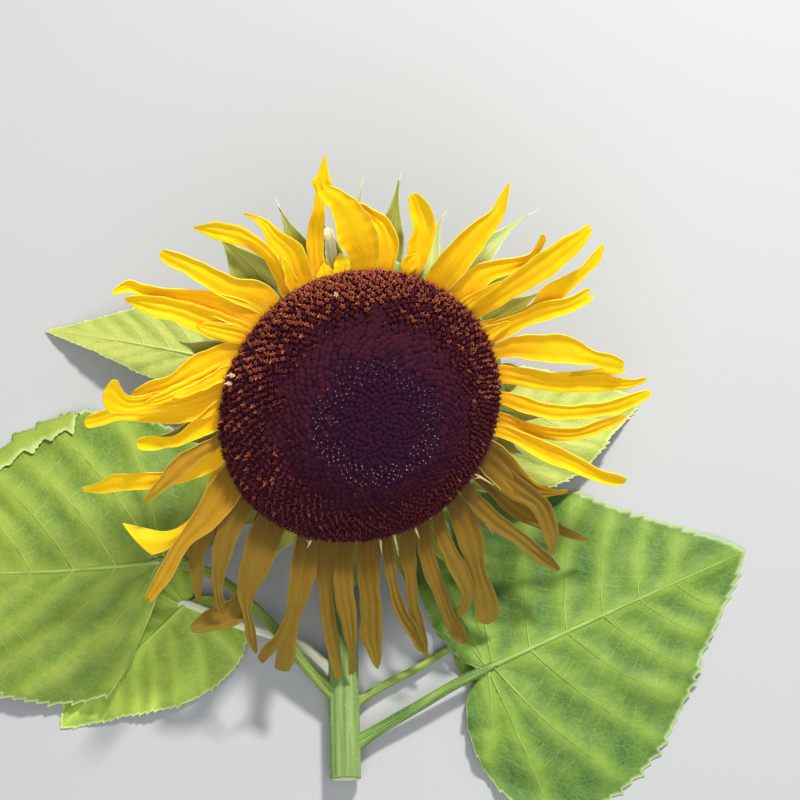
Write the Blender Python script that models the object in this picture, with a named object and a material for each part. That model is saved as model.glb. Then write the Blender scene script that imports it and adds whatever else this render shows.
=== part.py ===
"""Cut sunflower: a nodding flower head on a short length of stem, with six leaves.

It lies face up. The stem runs along +Y from its flat cut end, which is centred on
the origin, and rests on the level plane z = -STEM_RADIUS. The neck bends up and
back, so the flower faces up and towards the cut end. Metres, +Z up.
"""
import math

import bmesh
import bpy
from mathutils import Matrix, Vector
from mathutils.bvhtree import BVHTree

MM = 0.001
GAP = 0.3 * MM                    # clearance left between pieces that are seated together

# Stem and neck
STEM_RADIUS = 10.5 * MM           # at the cut end
STEM_TOP_RADIUS = 10.0 * MM
STEM_RUN = 290.5 * MM             # cut end to the corner where stem and neck axes meet
STEM_DRIFT = -0.032               # sideways drift of the stem for each unit of its length
NECK_RUN = 91.4 * MM              # that corner to the back of the flower head
NECK_TOP_RADIUS = 20.0 * MM       # where the neck flares into the head
BEND_RADIUS = 42.0 * MM
NECK_SPLIT = 5                    # point of the neck's line where its two halves meet
TUBE_SIDES = 14
FLOOR = -STEM_RADIUS

# Flower head
FACE = Vector((0.17, -0.52, 0.84)).normalized()
HEAD_DEPTH = 34.0 * MM            # rim level to the back of the receptacle
HEAD_RADIUS = 92.0 * MM
HEAD_SIDES = 52
RIM_LEVEL = -2.0 * MM
DISC_FOOT_RADIUS = 84.0 * MM
DISC_RADIUS = 90.5 * MM
DISC_SIDES = 60
DISC_FACE_ROW = 4                 # first row of the disc's profile that belongs to its face
DISC_SHIFT = Vector((8.0, -9.0)) * MM      # how far the bud centre sits off the middle
KNOB = 1.2 * MM                   # relief of the open florets
BUD_TABLE_RADIUS = 50.0 * MM
BUD_TABLE_LEVEL = 20.5 * MM
BUD_RISE = 4.5 * MM
BUD_SIDES = 36

# Ray florets: clock angle of the root seen from the front, lean away from radial,
# turn along the length, length, greatest width, share of the width left at the tip,
# twist, and row (0 back, 1 middle, 2 front). Degrees and millimetres.
RAY_ROOT_RADIUS = 86.0 * MM
RAY_ROOT_WIDTH = 6.8 * MM
RAY_THICKNESS = 1.0 * MM
RAY_GUTTER = 0.10                 # depth of the channel along a ray, as a share of its width
ROW_LIFT = (0.0, 8.0, 16.0)       # degrees out of the face plane, by row
ROW_DROOP = (-8.0, -12.0, -18.0)  # further change of that angle towards the tip
LIFT_STEP = 1.5
LIFT_LIMIT = 24.0
CLEAR = 0.7 * MM                  # width and thickness added for the clearance trial
RAYS = (
    (3, 35, -140, 82, 12, 0.20, 0, 0),
    (14, 17, -66, 57, 16, 0.60, 0, 1),
    (26, 7, -9, 78, 19, 0.15, 0, 2),
    (36, 15, -8, 70, 13, 0.45, 0, 1),
    (44, 8, -5, 97, 18, 0.30, 0, 2),
    (51, 15, -27, 97, 13, 0.30, 0, 1),
    (58, 6, -6, 76, 12, 0.60, 0, 2),
    (65, 7, 33, 88, 18, 0.35, 0, 2),
    (74, 18, -12, 103, 13, 0.35, 0, 1),
    (83, 25, -50, 102, 10, 0.40, 0, 2),
    (92, 22, -52, 96, 9, 0.40, 0, 0),
    (98, 7, 1, 98, 11, 0.60, 0, 2),
    (105, 10, -18, 66, 17, 0.30, 0, 0),
    (112, 8, 36, 84, 11, 0.15, 0, 2),
    (118, 5, -11, 97, 10, 0.25, 0, 0),
    (125, 7, -7, 88, 11, 0.40, 0, 2),
    (133, 9, 28, 92, 16, 0.70, 0, 1),
    (140, 4, 36, 80, 11, 0.35, 0, 2),
    (148, 13, -12, 94, 10, 0.40, 0, 1),
    (156, 16, -16, 95, 9, 0.30, 0, 1),
    (164, 13, -36, 90, 9, 0.30, 15, 2),
    (172, 3, -7, 90, 14, 0.30, 0, 1),
    (180, -2, -8, 98, 11, 0.35, 0, 2),
    (188, -2, -26, 100, 11, 0.35, 0, 1),
    (197, -12, 15, 96, 17, 0.55, 0, 2),
    (210, 4, -52, 98, 18, 0.20, 10, 1),
    (218, -30, 42, 100, 11, 0.60, 35, 0),
    (224, 4, -72, 90, 10, 0.30, 0, 2),
    (230, 2, -64, 92, 11, 0.15, 0, 1),
    (236, -21, -4, 104, 11, 0.30, 0, 2),
    (243, -26, 38, 90, 15, 0.25, 30, 0),
    (251, -22, 34, 101, 12, 0.20, 0, 0),
    (257, -26, -12, 70, 12, 0.25, 0, 2),
    (263, -28, 34, 60, 9, 0.70, 0, 0),
    (269, -19, 15, 89, 10, 0.25, 0, 1),
    (275, -36, 42, 82, 11, 0.30, 0, 2),
    (281, -40, 7, 64, 10, 0.30, 0, 2),
    (288, -48, 22, 76, 11, 0.30, 0, 1),
    (295, -4, -13, 80, 13, 0.25, 0, 1),
    (303, -12, -25, 93, 12, 0.20, 0, 0),
    (312, -18, -1, 75, 12, 0.70, 0, 1),
    (320, 18, -70, 76, 13, 0.20, 0, 0),
    (328, 12, -46, 62, 10, 0.20, 0, 2),
    (336, 13, 13, 76, 12, 0.15, 0, 1),
    (345, 0, 0, 26, 12, 0.60, 0, 0),
    (354, -4, -36, 60, 24, 0.40, 0, 2),
)

# Bracts: clock angle, length and base width, in two rows behind the rays
BRACT_THICKNESS = 1.4 * MM
BRACT_TIP_SHARE = 0.05
BAND_THICKNESS = 2.0 * MM
BAND_HEIGHT = 5.6 * MM
INNER_BAND_LEVEL = -6.2 * MM      # middle of the band
OUTER_BAND_LEVEL = -12.4 * MM
INNER_BRACT_LIFT = -7.0
OUTER_BRACT_LIFT = -17.0
INNER_BRACTS = (
    (5, 56, 20), (38, 76, 24), (64, 48, 20), (92, 52, 20), (118, 46, 20),
    (146, 54, 20), (178, 54, 22), (204, 50, 20), (230, 46, 20), (256, 54, 22),
    (284, 48, 20), (312, 46, 30), (341, 50, 20),
)
OUTER_BRACTS = (
    (20, 44, 20), (52, 46, 20), (78, 52, 20), (105, 46, 20), (132, 56, 20),
    (160, 48, 20), (192, 60, 22), (217, 46, 20), (245, 42, 20), (270, 52, 20),
    (298, 50, 20), (331, 58, 20), (353, 54, 20),
)

# Leaves. The outline is given round the point where the leaf stalk meets the blade:
# angle from the midrib, and reach as a share of the blade's length.
LEAF_OUTLINE = (
    (0, 1.00), (8, 0.86), (18, 0.74), (32, 0.66), (50, 0.60), (70, 0.55),
    (92, 0.50), (115, 0.42), (138, 0.30), (158, 0.17), (172, 0.06),
)
LEAF_THICKNESS = 2.2 * MM
LEAF_SPOKES = 18                  # on each side of the midrib
LEAF_RINGS = (0.40, 0.75, 1.00)
LEAF_TOOTH = 0.045                # depth of the teeth, as a share of the reach
STALK_SIDES = 8
STALK_POINTS = 12                 # from inside the carrier to the base of the blade
# name: base of the blade (x, y, z), heading, turn and length, then for the left and right
# halves their width, how far the lobe reaches back and how far the half is raked forward
# (as shares), sag of the margins, stalk radius, stalk points from inside its carrier to
# the base, carrier and colour. Millimetres and degrees, heading from +X towards +Y.
LEAVES = {
    "leaf_upper_left": dict(base=(-84, 283, 18), heading=166, turn=0, length=135,
                            spread=(0.45, 0.60), lobes=(0.8, 0.8), rake=(0, 0), sag=10, radius=3.6,
                            stalk=((-4, 240, 8), (-24, 254, 18), (-54, 270, 23)),
                            carrier="neck", tone=(0.42, 0.52, 0.14)),
    "leaf_lower_left": dict(base=(-121, 142, 18), heading=187, turn=-14, length=205,
                            spread=(0.80, 1.18), lobes=(0.1, 0.8), rake=(0.5, 0), sag=16, radius=4.2,
                            stalk=((-2, 50, 0), (-24, 71, 7), (-54, 104, 17), (-88, 132, 21)),
                            carrier="stem", tone=(0.17, 0.31, 0.07)),
    "leaf_foot_left": dict(base=(-96, 111, 1), heading=222, turn=0, length=122,
                           spread=(0.66, 0.95), lobes=(0.6, 0.8), rake=(0, 0), sag=7, radius=3.8,
                           stalk=((-4, 76, -2), (-22, 88, -1), (-48, 101, 3), (-74, 108, 4)),
                           carrier="stem", tone=(0.36, 0.50, 0.12)),
    "leaf_upper_right": dict(base=(74, 228, 22), heading=16, turn=0, length=136,
                             spread=(0.80, 0.95), lobes=(0.8, 0.8), rake=(0, 0), sag=12, radius=3.6,
                             stalk=((-4, 240, 8), (20, 240, 17), (47, 234, 22)),
                             carrier="neck", tone=(0.45, 0.55, 0.16)),
    "leaf_lower_right": dict(base=(94, 73, 1), heading=25, turn=0, length=196,
                             spread=(1.22, 1.08), lobes=(0.45, 0.7), rake=(0, 0), sag=8, radius=4.2,
                             stalk=((2, 20, 0), (20, 32, 0), (48, 48, 2), (72, 62, 3)),
                             carrier="stem", tone=(0.24, 0.40, 0.09)),
    "leaf_foot_right": dict(base=(58, 84, -7), heading=36, turn=-14, length=92,
                            spread=(0.80, 0.95), lobes=(0.7, 0.8), rake=(0, 0), sag=4, radius=3.0,
                            stalk=((0, 46, -3), (18, 58, -4), (40, 72, -5)),
                            carrier="stem", tone=(0.30, 0.46, 0.10)),
}

# Colours (linear) and finish
PETAL_YELLOW = (0.93, 0.57, 0.02)
PETAL_OCHRE = (0.36, 0.21, 0.03)
OCHRE_CLOCK = (105, 243)          # the rays between these clock angles are ochre
DISC_MAROON = (0.055, 0.012, 0.016)
BUD_PURPLE = (0.028, 0.008, 0.018)
BRACT_OLIVE = (0.26, 0.33, 0.07)
STEM_GREEN = (0.22, 0.36, 0.10)


def clear_scene():
    for item in list(bpy.data.objects):
        bpy.data.objects.remove(item, do_unlink=True)


def plain_material(name, colour, roughness):
    material = bpy.data.materials.new(name)
    material.use_nodes = True
    shader = material.node_tree.nodes["Principled BSDF"]
    shader.inputs["Base Color"].default_value = (*colour, 1.0)
    shader.inputs["Roughness"].default_value = roughness
    return material


def make_object(name, verts, faces, material=None):
    mesh = bpy.data.meshes.new(name)
    mesh.from_pydata([tuple(v) for v in verts], [], faces)
    mesh.validate()
    item = bpy.data.objects.new(name, mesh)
    bpy.context.scene.collection.objects.link(item)
    if material:
        mesh.materials.append(material)
    edit = bmesh.new()
    edit.from_mesh(mesh)
    bmesh.ops.recalc_face_normals(edit, faces=edit.faces)
    edit.to_mesh(mesh)
    edit.free()
    return item


def apply_boolean(target, operation, others):
    """Join or cut target with the others by one Boolean, applied; the others are removed."""
    group = bpy.data.collections.new("tools")
    for other in others:
        group.objects.link(other)
    modifier = target.modifiers.new("boolean", "BOOLEAN")
    modifier.operation = operation
    modifier.operand_type = "COLLECTION"
    modifier.collection = group
    modifier.solver = "EXACT"
    bpy.context.view_layer.update()
    depsgraph = bpy.context.evaluated_depsgraph_get()
    result = bpy.data.meshes.new_from_object(target.evaluated_get(depsgraph))
    target.modifiers.remove(modifier)
    target.data = result
    result.name = target.name
    for other in others:
        bpy.data.objects.remove(other, do_unlink=True)
    bpy.data.collections.remove(group)


def smooth_curve(points, count):
    """Points spread evenly along a Catmull-Rom curve through the given points."""
    ends = [points[0] * 2 - points[1]] + list(points) + [points[-1] * 2 - points[-2]]
    curve = []
    for step in range(count):
        place = step / (count - 1) * (len(points) - 1)
        first = min(int(place), len(points) - 2)
        t = place - first
        a, b, c, d = ends[first:first + 4]
        curve.append(0.5 * ((2 * b) + (c - a) * t + (2 * a - 5 * b + 4 * c - d) * t * t
                            + (3 * b - a - 3 * c + d) * t ** 3))
    return curve


def tube_geometry(points, radii, sides, first_side=Vector((0, 0, -1)), ends=(None, None)):
    """A closed tube with flat ends along the points, with one corner towards first_side."""
    verts, faces = [], []
    tangents = []
    for index in range(len(points)):
        before = points[max(index - 1, 0)]
        after = points[min(index + 1, len(points) - 1)]
        tangents.append((after - before).normalized())
    tangents[0] = ends[0] or tangents[0]
    tangents[-1] = ends[1] or tangents[-1]
    across = (first_side - tangents[0] * first_side.dot(tangents[0])).normalized()
    for index, (point, radius) in enumerate(zip(points, radii)):
        if index:
            turn = tangents[index - 1].rotation_difference(tangents[index])
            across = (turn @ across).normalized()
        other = tangents[index].cross(across)
        for side in range(sides):
            angle = math.tau * side / sides
            verts.append(point + (across * math.cos(angle) + other * math.sin(angle)) * radius)
    for ring in range(len(points) - 1):
        for side in range(sides):
            a = ring * sides + side
            b = ring * sides + (side + 1) % sides
            faces.append((a, b, b + sides, a + sides))
    faces.append(tuple(reversed(range(sides))))
    last = (len(points) - 1) * sides
    faces.append(tuple(range(last, last + sides)))
    return verts, faces


# ---------------------------------------------------------------- stem and neck

def stem_axis():
    return Vector((STEM_DRIFT, 1.0, 0.0)).normalized()


def corner_point():
    return stem_axis() * STEM_RUN


def bend_points(count):
    """The arc that turns the stem's axis into the head's axis."""
    start, end = stem_axis(), FACE
    angle = start.angle(end)
    tangent = BEND_RADIUS * math.tan(angle / 2)
    inward = (end - start * start.dot(end)).normalized()
    first = corner_point() - start * tangent
    centre = first + inward * BEND_RADIUS
    arc = []
    for step in range(count):
        turned = angle * step / (count - 1)
        arc.append(centre - inward * BEND_RADIUS * math.cos(turned)
                   + start * BEND_RADIUS * math.sin(turned))
    return arc


def neck_radius(share):
    """Radius along the neck, from the stem (0) to the head (1)."""
    return STEM_TOP_RADIUS + (NECK_TOP_RADIUS - STEM_TOP_RADIUS) * share ** 3


def neck_line():
    points = bend_points(11)
    top = corner_point() + FACE * (NECK_RUN - GAP)
    points += [points[-1].lerp(top, 0.5), top]
    radii = [neck_radius(index / (len(points) - 1)) for index in range(len(points))]
    return points, radii


def stem_geometry(extra=0.0):
    end = bend_points(2)[0] - stem_axis() * GAP
    points = [end * (step / 6) for step in range(7)]
    radii = [STEM_RADIUS + (STEM_TOP_RADIUS - STEM_RADIUS) * step / 6 + extra
             for step in range(7)]
    return tube_geometry(points, radii, TUBE_SIDES)


def neck_geometry(part, extra=0.0):
    """part 0 is the lower half of the bend, 1 the rest up to the head, 2 the whole neck."""
    points, radii = neck_line()
    half = (points[NECK_SPLIT + 1] - points[NECK_SPLIT - 1]).normalized()
    start, end = stem_axis(), FACE
    first_side = Vector((0, 0, -1))
    if part == 0:
        points, radii, end = points[:NECK_SPLIT + 1], radii[:NECK_SPLIT + 1], half
    elif part == 1:
        points, radii, start = points[NECK_SPLIT:], radii[NECK_SPLIT:], half
        points[0] = points[0] + half * GAP
        first_side = stem_axis()
    radii = [radius + extra for radius in radii]
    return tube_geometry(points, radii, TUBE_SIDES, first_side, (start, end))


CARRIERS = {"stem": stem_geometry, "neck": lambda extra: neck_geometry(2, extra)}


# ---------------------------------------------------------------- flower head

def head_matrix():
    """Head frame: x right and y up in the face plane, z out of the face."""
    right = Vector((0, 1, 0)).cross(FACE).normalized()
    up = FACE.cross(right)
    centre = corner_point() + FACE * (NECK_RUN + HEAD_DEPTH)
    matrix = Matrix((right, up, FACE)).transposed().to_4x4()
    matrix.translation = centre
    return matrix


def turned_geometry(profile, sides, shift=None, shift_from=0, knob_from=None):
    """A closed solid turned about the head's axis, from its lowest middle to its highest."""
    verts, faces = [Vector((0, 0, profile[0][1]))], []
    for row, (radius, level) in enumerate(profile):
        for side in range(sides):
            angle = math.tau * (side + 0.5 * (row % 2 if knob_from else 0)) / sides
            height = level
            if knob_from and row >= knob_from and radius > BUD_TABLE_RADIUS + MM:
                height += KNOB if (side + row) % 2 else -KNOB
            point = Vector((radius * math.sin(angle), radius * math.cos(angle), height))
            if shift and row >= shift_from:
                point.xy += shift * max(0.0, 1 - (radius / DISC_RADIUS) ** 2)
            verts.append(point)
    middle = Vector((0, 0, profile[-1][1]))
    if shift:
        middle.xy += shift
        if shift_from == 0:
            verts[0].xy += shift
    verts.append(middle)
    for side in range(sides):
        after = (side + 1) % sides
        faces.append((0, 1 + side, 1 + after))
        for row in range(len(profile) - 1):
            a, b = 1 + row * sides + side, 1 + row * sides + after
            faces.append((a, a + sides, b + sides, b))
        last = 1 + (len(profile) - 1) * sides
        faces.append((last + side, len(verts) - 1, last + after))
    return verts, faces


def receptacle_profile():
    neck = NECK_TOP_RADIUS + 2 * MM
    return ((neck, -HEAD_DEPTH), (60 * MM, -27 * MM), (84 * MM, -19.5 * MM),
            (HEAD_RADIUS, -16 * MM), (HEAD_RADIUS, RIM_LEVEL), (40 * MM, RIM_LEVEL))


def disc_level(radius):
    """Height of the domed face of open florets over the rim."""
    share = min(1.0, radius / (86 * MM))
    return (11 + 9.5 * (1 - share ** 3)) * MM


def disc_profile():
    foot = RIM_LEVEL + GAP
    rows = [(40 * MM, foot), (DISC_FOOT_RADIUS, foot), (88 * MM, 2.5 * MM),
            (DISC_RADIUS, 6 * MM)]
    for radius in (86, 78, 70, 62, 55):
        rows.append((radius * MM, disc_level(radius * MM)))
    rows.append((BUD_TABLE_RADIUS, BUD_TABLE_LEVEL))
    rows.append((BUD_TABLE_RADIUS / 2, BUD_TABLE_LEVEL))
    return rows


def bud_profile():
    foot = BUD_TABLE_LEVEL + GAP
    edge = BUD_TABLE_RADIUS - MM
    rows = [(edge / 2, foot), (edge, foot)]
    for share in (0.98, 0.8, 0.5, 0.2):
        rows.append((edge * share, foot + MM + BUD_RISE * (1 - share ** 2) ** 0.8))
    return rows


STRIP_STEPS = 60                  # steps taken along a ray or bract to follow its curve


def strip_width(share, root_width, width, tip_share):
    """Width of a ray or bract at a share of its length."""
    if share < 0.40:
        ease = math.sin(share / 0.40 * math.pi / 2)
        return root_width + (width - root_width) * ease
    if share < 0.62:
        return width
    fall = (share - 0.62) / 0.38
    return width * (1 - (1 - tip_share) * fall ** 1.6)


def strip_line(root, clock, lean, turn, length, lift, droop, shares):
    """Points, directions and sides along a ray or bract, in the head frame."""
    place = Vector(root)
    line = {}
    wanted = {round(share * STRIP_STEPS): share for share in shares}
    for step in range(STRIP_STEPS + 1):
        share = step / STRIP_STEPS
        ease = min(1.0, share / 0.12)
        heading = math.radians(clock + lean * ease + turn * share)
        rise = math.radians(lift * ease + droop * share)
        along = Vector((math.sin(heading) * math.cos(rise),
                        math.cos(heading) * math.cos(rise), math.sin(rise)))
        side = Vector((math.cos(heading), -math.sin(heading), 0))
        if step in wanted:
            line[wanted[step]] = (place.copy(), along, side)
        place += along * (length / STRIP_STEPS)
    return [line[share] for share in shares]


def strip_geometry(line, shares, widths, thickness, gutter, twist):
    """A thin closed blade, three points across, along a line."""
    verts, faces = [], []
    for (place, along, side), share, width in zip(line, shares, widths):
        turned = Matrix.Rotation(math.radians(twist) * share, 3, along) @ side
        normal = turned.cross(along).normalized()
        rise = gutter * width * min(1.0, share / 0.3)
        for lateral, raised in ((-0.5, rise), (0.0, 0.0), (0.5, rise)):
            centre = place + turned * (lateral * width) + normal * raised
            verts.append(centre + normal * thickness / 2)
            verts.append(centre - normal * thickness / 2)
    rows = len(shares)
    for row in range(rows - 1):
        a = row * 6
        b = a + 6
        faces += [(a, a + 2, b + 2, b), (a + 2, a + 4, b + 4, b + 2),
                  (a + 1, b + 1, b + 3, a + 3), (a + 3, b + 3, b + 5, a + 5),
                  (a, b, b + 1, a + 1), (a + 4, a + 5, b + 5, b + 4)]
    faces += [(0, 1, 3, 2), (2, 3, 5, 4)]
    a = (rows - 1) * 6
    faces += [(a, a + 2, a + 3, a + 1), (a + 2, a + 4, a + 5, a + 3)]
    return verts, faces


RAY_SHARES = (0.0, 0.1, 0.3, 0.55, 0.8, 1.0)


def ray_geometry(ray, lift, extra=0.0):
    clock, lean, turn, length, width, tip_share, twist, row = ray
    angle = math.radians(clock)
    level = RIM_LEVEL + GAP + RAY_THICKNESS / 2
    root = (RAY_ROOT_RADIUS * math.sin(angle), RAY_ROOT_RADIUS * math.cos(angle), level)
    line = strip_line(root, clock, lean, turn, length * MM, lift, ROW_DROOP[row], RAY_SHARES)
    root_width = RAY_ROOT_WIDTH * math.cos(math.radians(lean))
    widths = [strip_width(share, root_width, width * MM, tip_share) + extra
              for share in RAY_SHARES]
    return strip_geometry(line, RAY_SHARES, widths, RAY_THICKNESS + extra, RAY_GUTTER, twist)


def lift_trials(first):
    """The row's own lift, then lifts further and further from it, above before below."""
    yield first
    step = LIFT_STEP
    while step <= LIFT_LIMIT:
        yield first + step
        if first - step >= 0:
            yield first - step
        step += LIFT_STEP


def ray_lifts():
    """A lift for each ray that holds it clear of every ray laid before it, row by row."""
    order = sorted(range(len(RAYS)), key=lambda index: (RAYS[index][7], index))
    placed, lifts = [], {}
    for index in order:
        for lift in lift_trials(ROW_LIFT[RAYS[index][7]]):
            trial = BVHTree.FromPolygons(*ray_geometry(RAYS[index], lift, CLEAR))
            if not any(trial.overlap(other) for other in placed):
                break
        placed.append(BVHTree.FromPolygons(*ray_geometry(RAYS[index], lift)))
        lifts[index] = lift
    return lifts


BRACT_SHARES = (0.0, 0.2, 0.55, 1.0)


def bract_geometry(bract, level, lift):
    clock, length, width = bract
    angle = math.radians(clock)
    radius = HEAD_RADIUS + GAP + BAND_THICKNESS / 2
    root = (radius * math.sin(angle), radius * math.cos(angle), level)
    line = strip_line(root, clock, 0, 0, length * MM, lift, 0, BRACT_SHARES)
    widths = [width * MM * (1 - (1 - BRACT_TIP_SHARE) * share ** 1.3)
              for share in BRACT_SHARES]
    return strip_geometry(line, BRACT_SHARES, widths, BRACT_THICKNESS, 0.12, 0)


def band_geometry(level):
    """The low collar on the rim of the head that a row of bracts grows from."""
    inner = HEAD_RADIUS + GAP
    outer = inner + BAND_THICKNESS
    corners = ((inner, level - BAND_HEIGHT / 2), (outer, level - BAND_HEIGHT / 2),
               (outer, level + BAND_HEIGHT / 2), (inner, level + BAND_HEIGHT / 2))
    verts, faces = [], []
    for side in range(HEAD_SIDES):
        angle = math.tau * side / HEAD_SIDES
        for radius, height in corners:
            verts.append(Vector((radius * math.sin(angle), radius * math.cos(angle), height)))
    for side in range(HEAD_SIDES):
        a, b = side * 4, (side + 1) % HEAD_SIDES * 4
        for corner in range(4):
            after = (corner + 1) % 4
            faces.append((a + corner, a + after, b + after, b + corner))
    return verts, faces


# ---------------------------------------------------------------- leaves

def outline_reach(angle):
    """Reach of the blade's margin at an angle in degrees from the midrib."""
    for (low, near), (high, far) in zip(LEAF_OUTLINE, LEAF_OUTLINE[1:]):
        if angle <= high:
            return near + (far - near) * (angle - low) / (high - low)
    return LEAF_OUTLINE[-1][1]


def leaf_point(leaf, along, across):
    """Place on the blade's lower face for a point in the flat leaf (metres)."""
    length = leaf["length"] * MM
    base = Vector(leaf["base"]) * MM
    share = max(0.0, along / length)
    heading = math.radians(leaf["heading"])
    turned = heading + math.radians(leaf["turn"]) * share / 2
    lateral = heading + math.radians(leaf["turn"]) * share + math.pi / 2
    drop = (base.z - FLOOR) * (0.25 * share + 0.75 * share ** 2.2)
    drop += leaf["sag"] * MM * (across / (0.5 * length)) ** 2
    drop += 0.5 * (base.z - FLOOR) * max(0.0, -along / length)
    return Vector((base.x + math.cos(turned) * along + math.cos(lateral) * across,
                   base.y + math.sin(turned) * along + math.sin(lateral) * across,
                   max(FLOOR, base.z - drop)))


def blade_geometry(leaf):
    """The blade: spokes from its base to the toothed margin, closed round the notch."""
    length = leaf["length"] * MM
    last_angle = LEAF_OUTLINE[-1][0]
    spokes = []
    for index in range(-LEAF_SPOKES, LEAF_SPOKES + 1):
        angle = last_angle * (abs(index) / LEAF_SPOKES) ** 1.15
        reach = outline_reach(angle) * length
        if index % 2 and abs(index) > 1:
            reach *= 1 - LEAF_TOOTH
        elif abs(index) not in (0, LEAF_SPOKES):
            reach *= 1 + LEAF_TOOTH / 2
        side = 1 if index >= 0 else -1
        half = 0 if index >= 0 else 1
        along = reach * math.cos(math.radians(angle))
        across = side * reach * math.sin(math.radians(angle)) * leaf["spread"][half]
        if along < 0:
            along *= leaf["lobes"][half]
        spokes.append((along + leaf["rake"][half] * abs(across), across))
    verts, faces = [], []
    points = [(0.0, 0.0)] + [(x * ring, y * ring) for x, y in spokes for ring in LEAF_RINGS]
    for x, y in points:
        low = leaf_point(leaf, x, y)
        verts += [low + Vector((0, 0, LEAF_THICKNESS)), low]
    rings = len(LEAF_RINGS)
    for spoke in range(len(spokes) - 1):
        a, b = 1 + spoke * rings, 1 + (spoke + 1) * rings
        faces += [(0, 2 * a, 2 * b), (1, 2 * b + 1, 2 * a + 1)]
        for ring in range(rings - 1):
            p, q, r, s = a + ring, a + ring + 1, b + ring + 1, b + ring
            faces += [(2 * p, 2 * q, 2 * r, 2 * s),
                      (2 * p + 1, 2 * s + 1, 2 * r + 1, 2 * q + 1)]
        edge, after = a + rings - 1, b + rings - 1
        faces.append((2 * edge, 2 * edge + 1, 2 * after + 1, 2 * after))
    for start, flip in ((1, False), (1 + (len(spokes) - 1) * rings, True)):
        chain = [0] + [start + ring for ring in range(rings)]
        for a, b in zip(chain, chain[1:]):
            face = (2 * a, 2 * a + 1, 2 * b + 1, 2 * b)
            faces.append(tuple(reversed(face)) if flip else face)
    return verts, faces


def stalk_geometry(leaf):
    """The leaf stalk, which runs on along the blade as its midrib."""
    radius = leaf["radius"] * MM
    route = [Vector(point) * MM for point in leaf["stalk"]]
    lift = Vector((0, 0, LEAF_THICKNESS * 0.6))
    length = leaf["length"] * MM
    route.append(leaf_point(leaf, 0, 0) + lift)
    points = smooth_curve(route, STALK_POINTS)
    radii = [radius * (1 - 0.2 * index / (STALK_POINTS - 1)) for index in range(STALK_POINTS)]
    for share in (0.12, 0.28, 0.48):
        points.append(leaf_point(leaf, share * length, 0) + lift)
        radii.append(radius * (0.8 - 1.1 * share))
    for index, point in enumerate(points):
        point.z = max(point.z, FLOOR + radii[index] + 0.2 * MM)
    return tube_geometry(points, radii, STALK_SIDES)


def make_leaf(name):
    leaf = LEAVES[name]
    material = plain_material(name, leaf["tone"], 0.55)
    blade = make_object(name, *blade_geometry(leaf), material)
    stalk = make_object(name + "_stalk", *stalk_geometry(leaf))
    apply_boolean(blade, "UNION", [stalk])
    cutter = make_object(name + "_cutter", *CARRIERS[leaf["carrier"]](GAP))
    apply_boolean(blade, "DIFFERENCE", [cutter])
    return blade


# ---------------------------------------------------------------- the whole part

def make_stem_and_neck():
    green = plain_material("stem_green", STEM_GREEN, 0.6)
    make_object("stem", *stem_geometry(), green)
    make_object("neck_lower", *neck_geometry(0), green)
    make_object("neck_upper", *neck_geometry(1), green)


def make_head():
    matrix = head_matrix()
    green = plain_material("bract_olive", BRACT_OLIVE, 0.6)
    pieces = [
        make_object("receptacle", *turned_geometry(receptacle_profile(), HEAD_SIDES), green),
        make_object("disc_florets",
                    *turned_geometry(disc_profile(), DISC_SIDES, DISC_SHIFT, DISC_FACE_ROW,
                                     DISC_FACE_ROW),
                    plain_material("disc_maroon", DISC_MAROON, 0.8)),
        make_object("disc_buds", *turned_geometry(bud_profile(), BUD_SIDES, DISC_SHIFT),
                    plain_material("bud_purple", BUD_PURPLE, 0.7)),
    ]
    rows = (("bracts_inner", INNER_BRACTS, INNER_BAND_LEVEL, INNER_BRACT_LIFT),
            ("bracts_outer", OUTER_BRACTS, OUTER_BAND_LEVEL, OUTER_BRACT_LIFT))
    for name, bracts, level, lift in rows:
        band = make_object(name, *band_geometry(level), green)
        blades = [make_object(name + "_blade", *bract_geometry(bract, level, lift))
                  for bract in bracts]
        apply_boolean(band, "UNION", blades)
        pieces.append(band)
    yellow = plain_material("petal_yellow", PETAL_YELLOW, 0.5)
    ochre = plain_material("petal_ochre", PETAL_OCHRE, 0.5)
    for index, lift in sorted(ray_lifts().items()):
        shaded = OCHRE_CLOCK[0] < RAYS[index][0] < OCHRE_CLOCK[1]
        pieces.append(make_object("ray_%02d" % (index + 1), *ray_geometry(RAYS[index], lift),
                                  ochre if shaded else yellow))
    for piece in pieces:
        piece.matrix_world = matrix


def main():
    clear_scene()
    make_stem_and_neck()
    make_head()
    for name in LEAVES:
        make_leaf(name)


main()
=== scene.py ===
"""Looks of the cut sunflower: petals, florets, bracts, leaves, stem, and the studio.

The plant lies face up on a pale floor. Metres, +Z up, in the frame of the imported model.
Millimetres where a value is multiplied by MM.
"""
import math
import random

import bpy
import numpy as np
from mathutils import Matrix, Vector, kdtree
from mathutils.noise import fractal


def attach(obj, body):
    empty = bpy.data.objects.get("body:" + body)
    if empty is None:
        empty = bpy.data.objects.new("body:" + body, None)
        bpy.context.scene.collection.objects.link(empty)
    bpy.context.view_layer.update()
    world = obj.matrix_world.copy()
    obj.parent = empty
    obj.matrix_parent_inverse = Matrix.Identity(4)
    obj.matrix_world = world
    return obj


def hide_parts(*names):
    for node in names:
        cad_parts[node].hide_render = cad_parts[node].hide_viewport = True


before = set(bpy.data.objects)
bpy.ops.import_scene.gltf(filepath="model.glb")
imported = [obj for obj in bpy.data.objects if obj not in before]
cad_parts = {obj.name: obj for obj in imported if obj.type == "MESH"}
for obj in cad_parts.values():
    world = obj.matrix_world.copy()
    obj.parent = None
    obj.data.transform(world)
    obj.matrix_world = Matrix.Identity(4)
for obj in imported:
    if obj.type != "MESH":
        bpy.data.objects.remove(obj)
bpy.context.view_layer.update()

MM = 0.001

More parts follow.
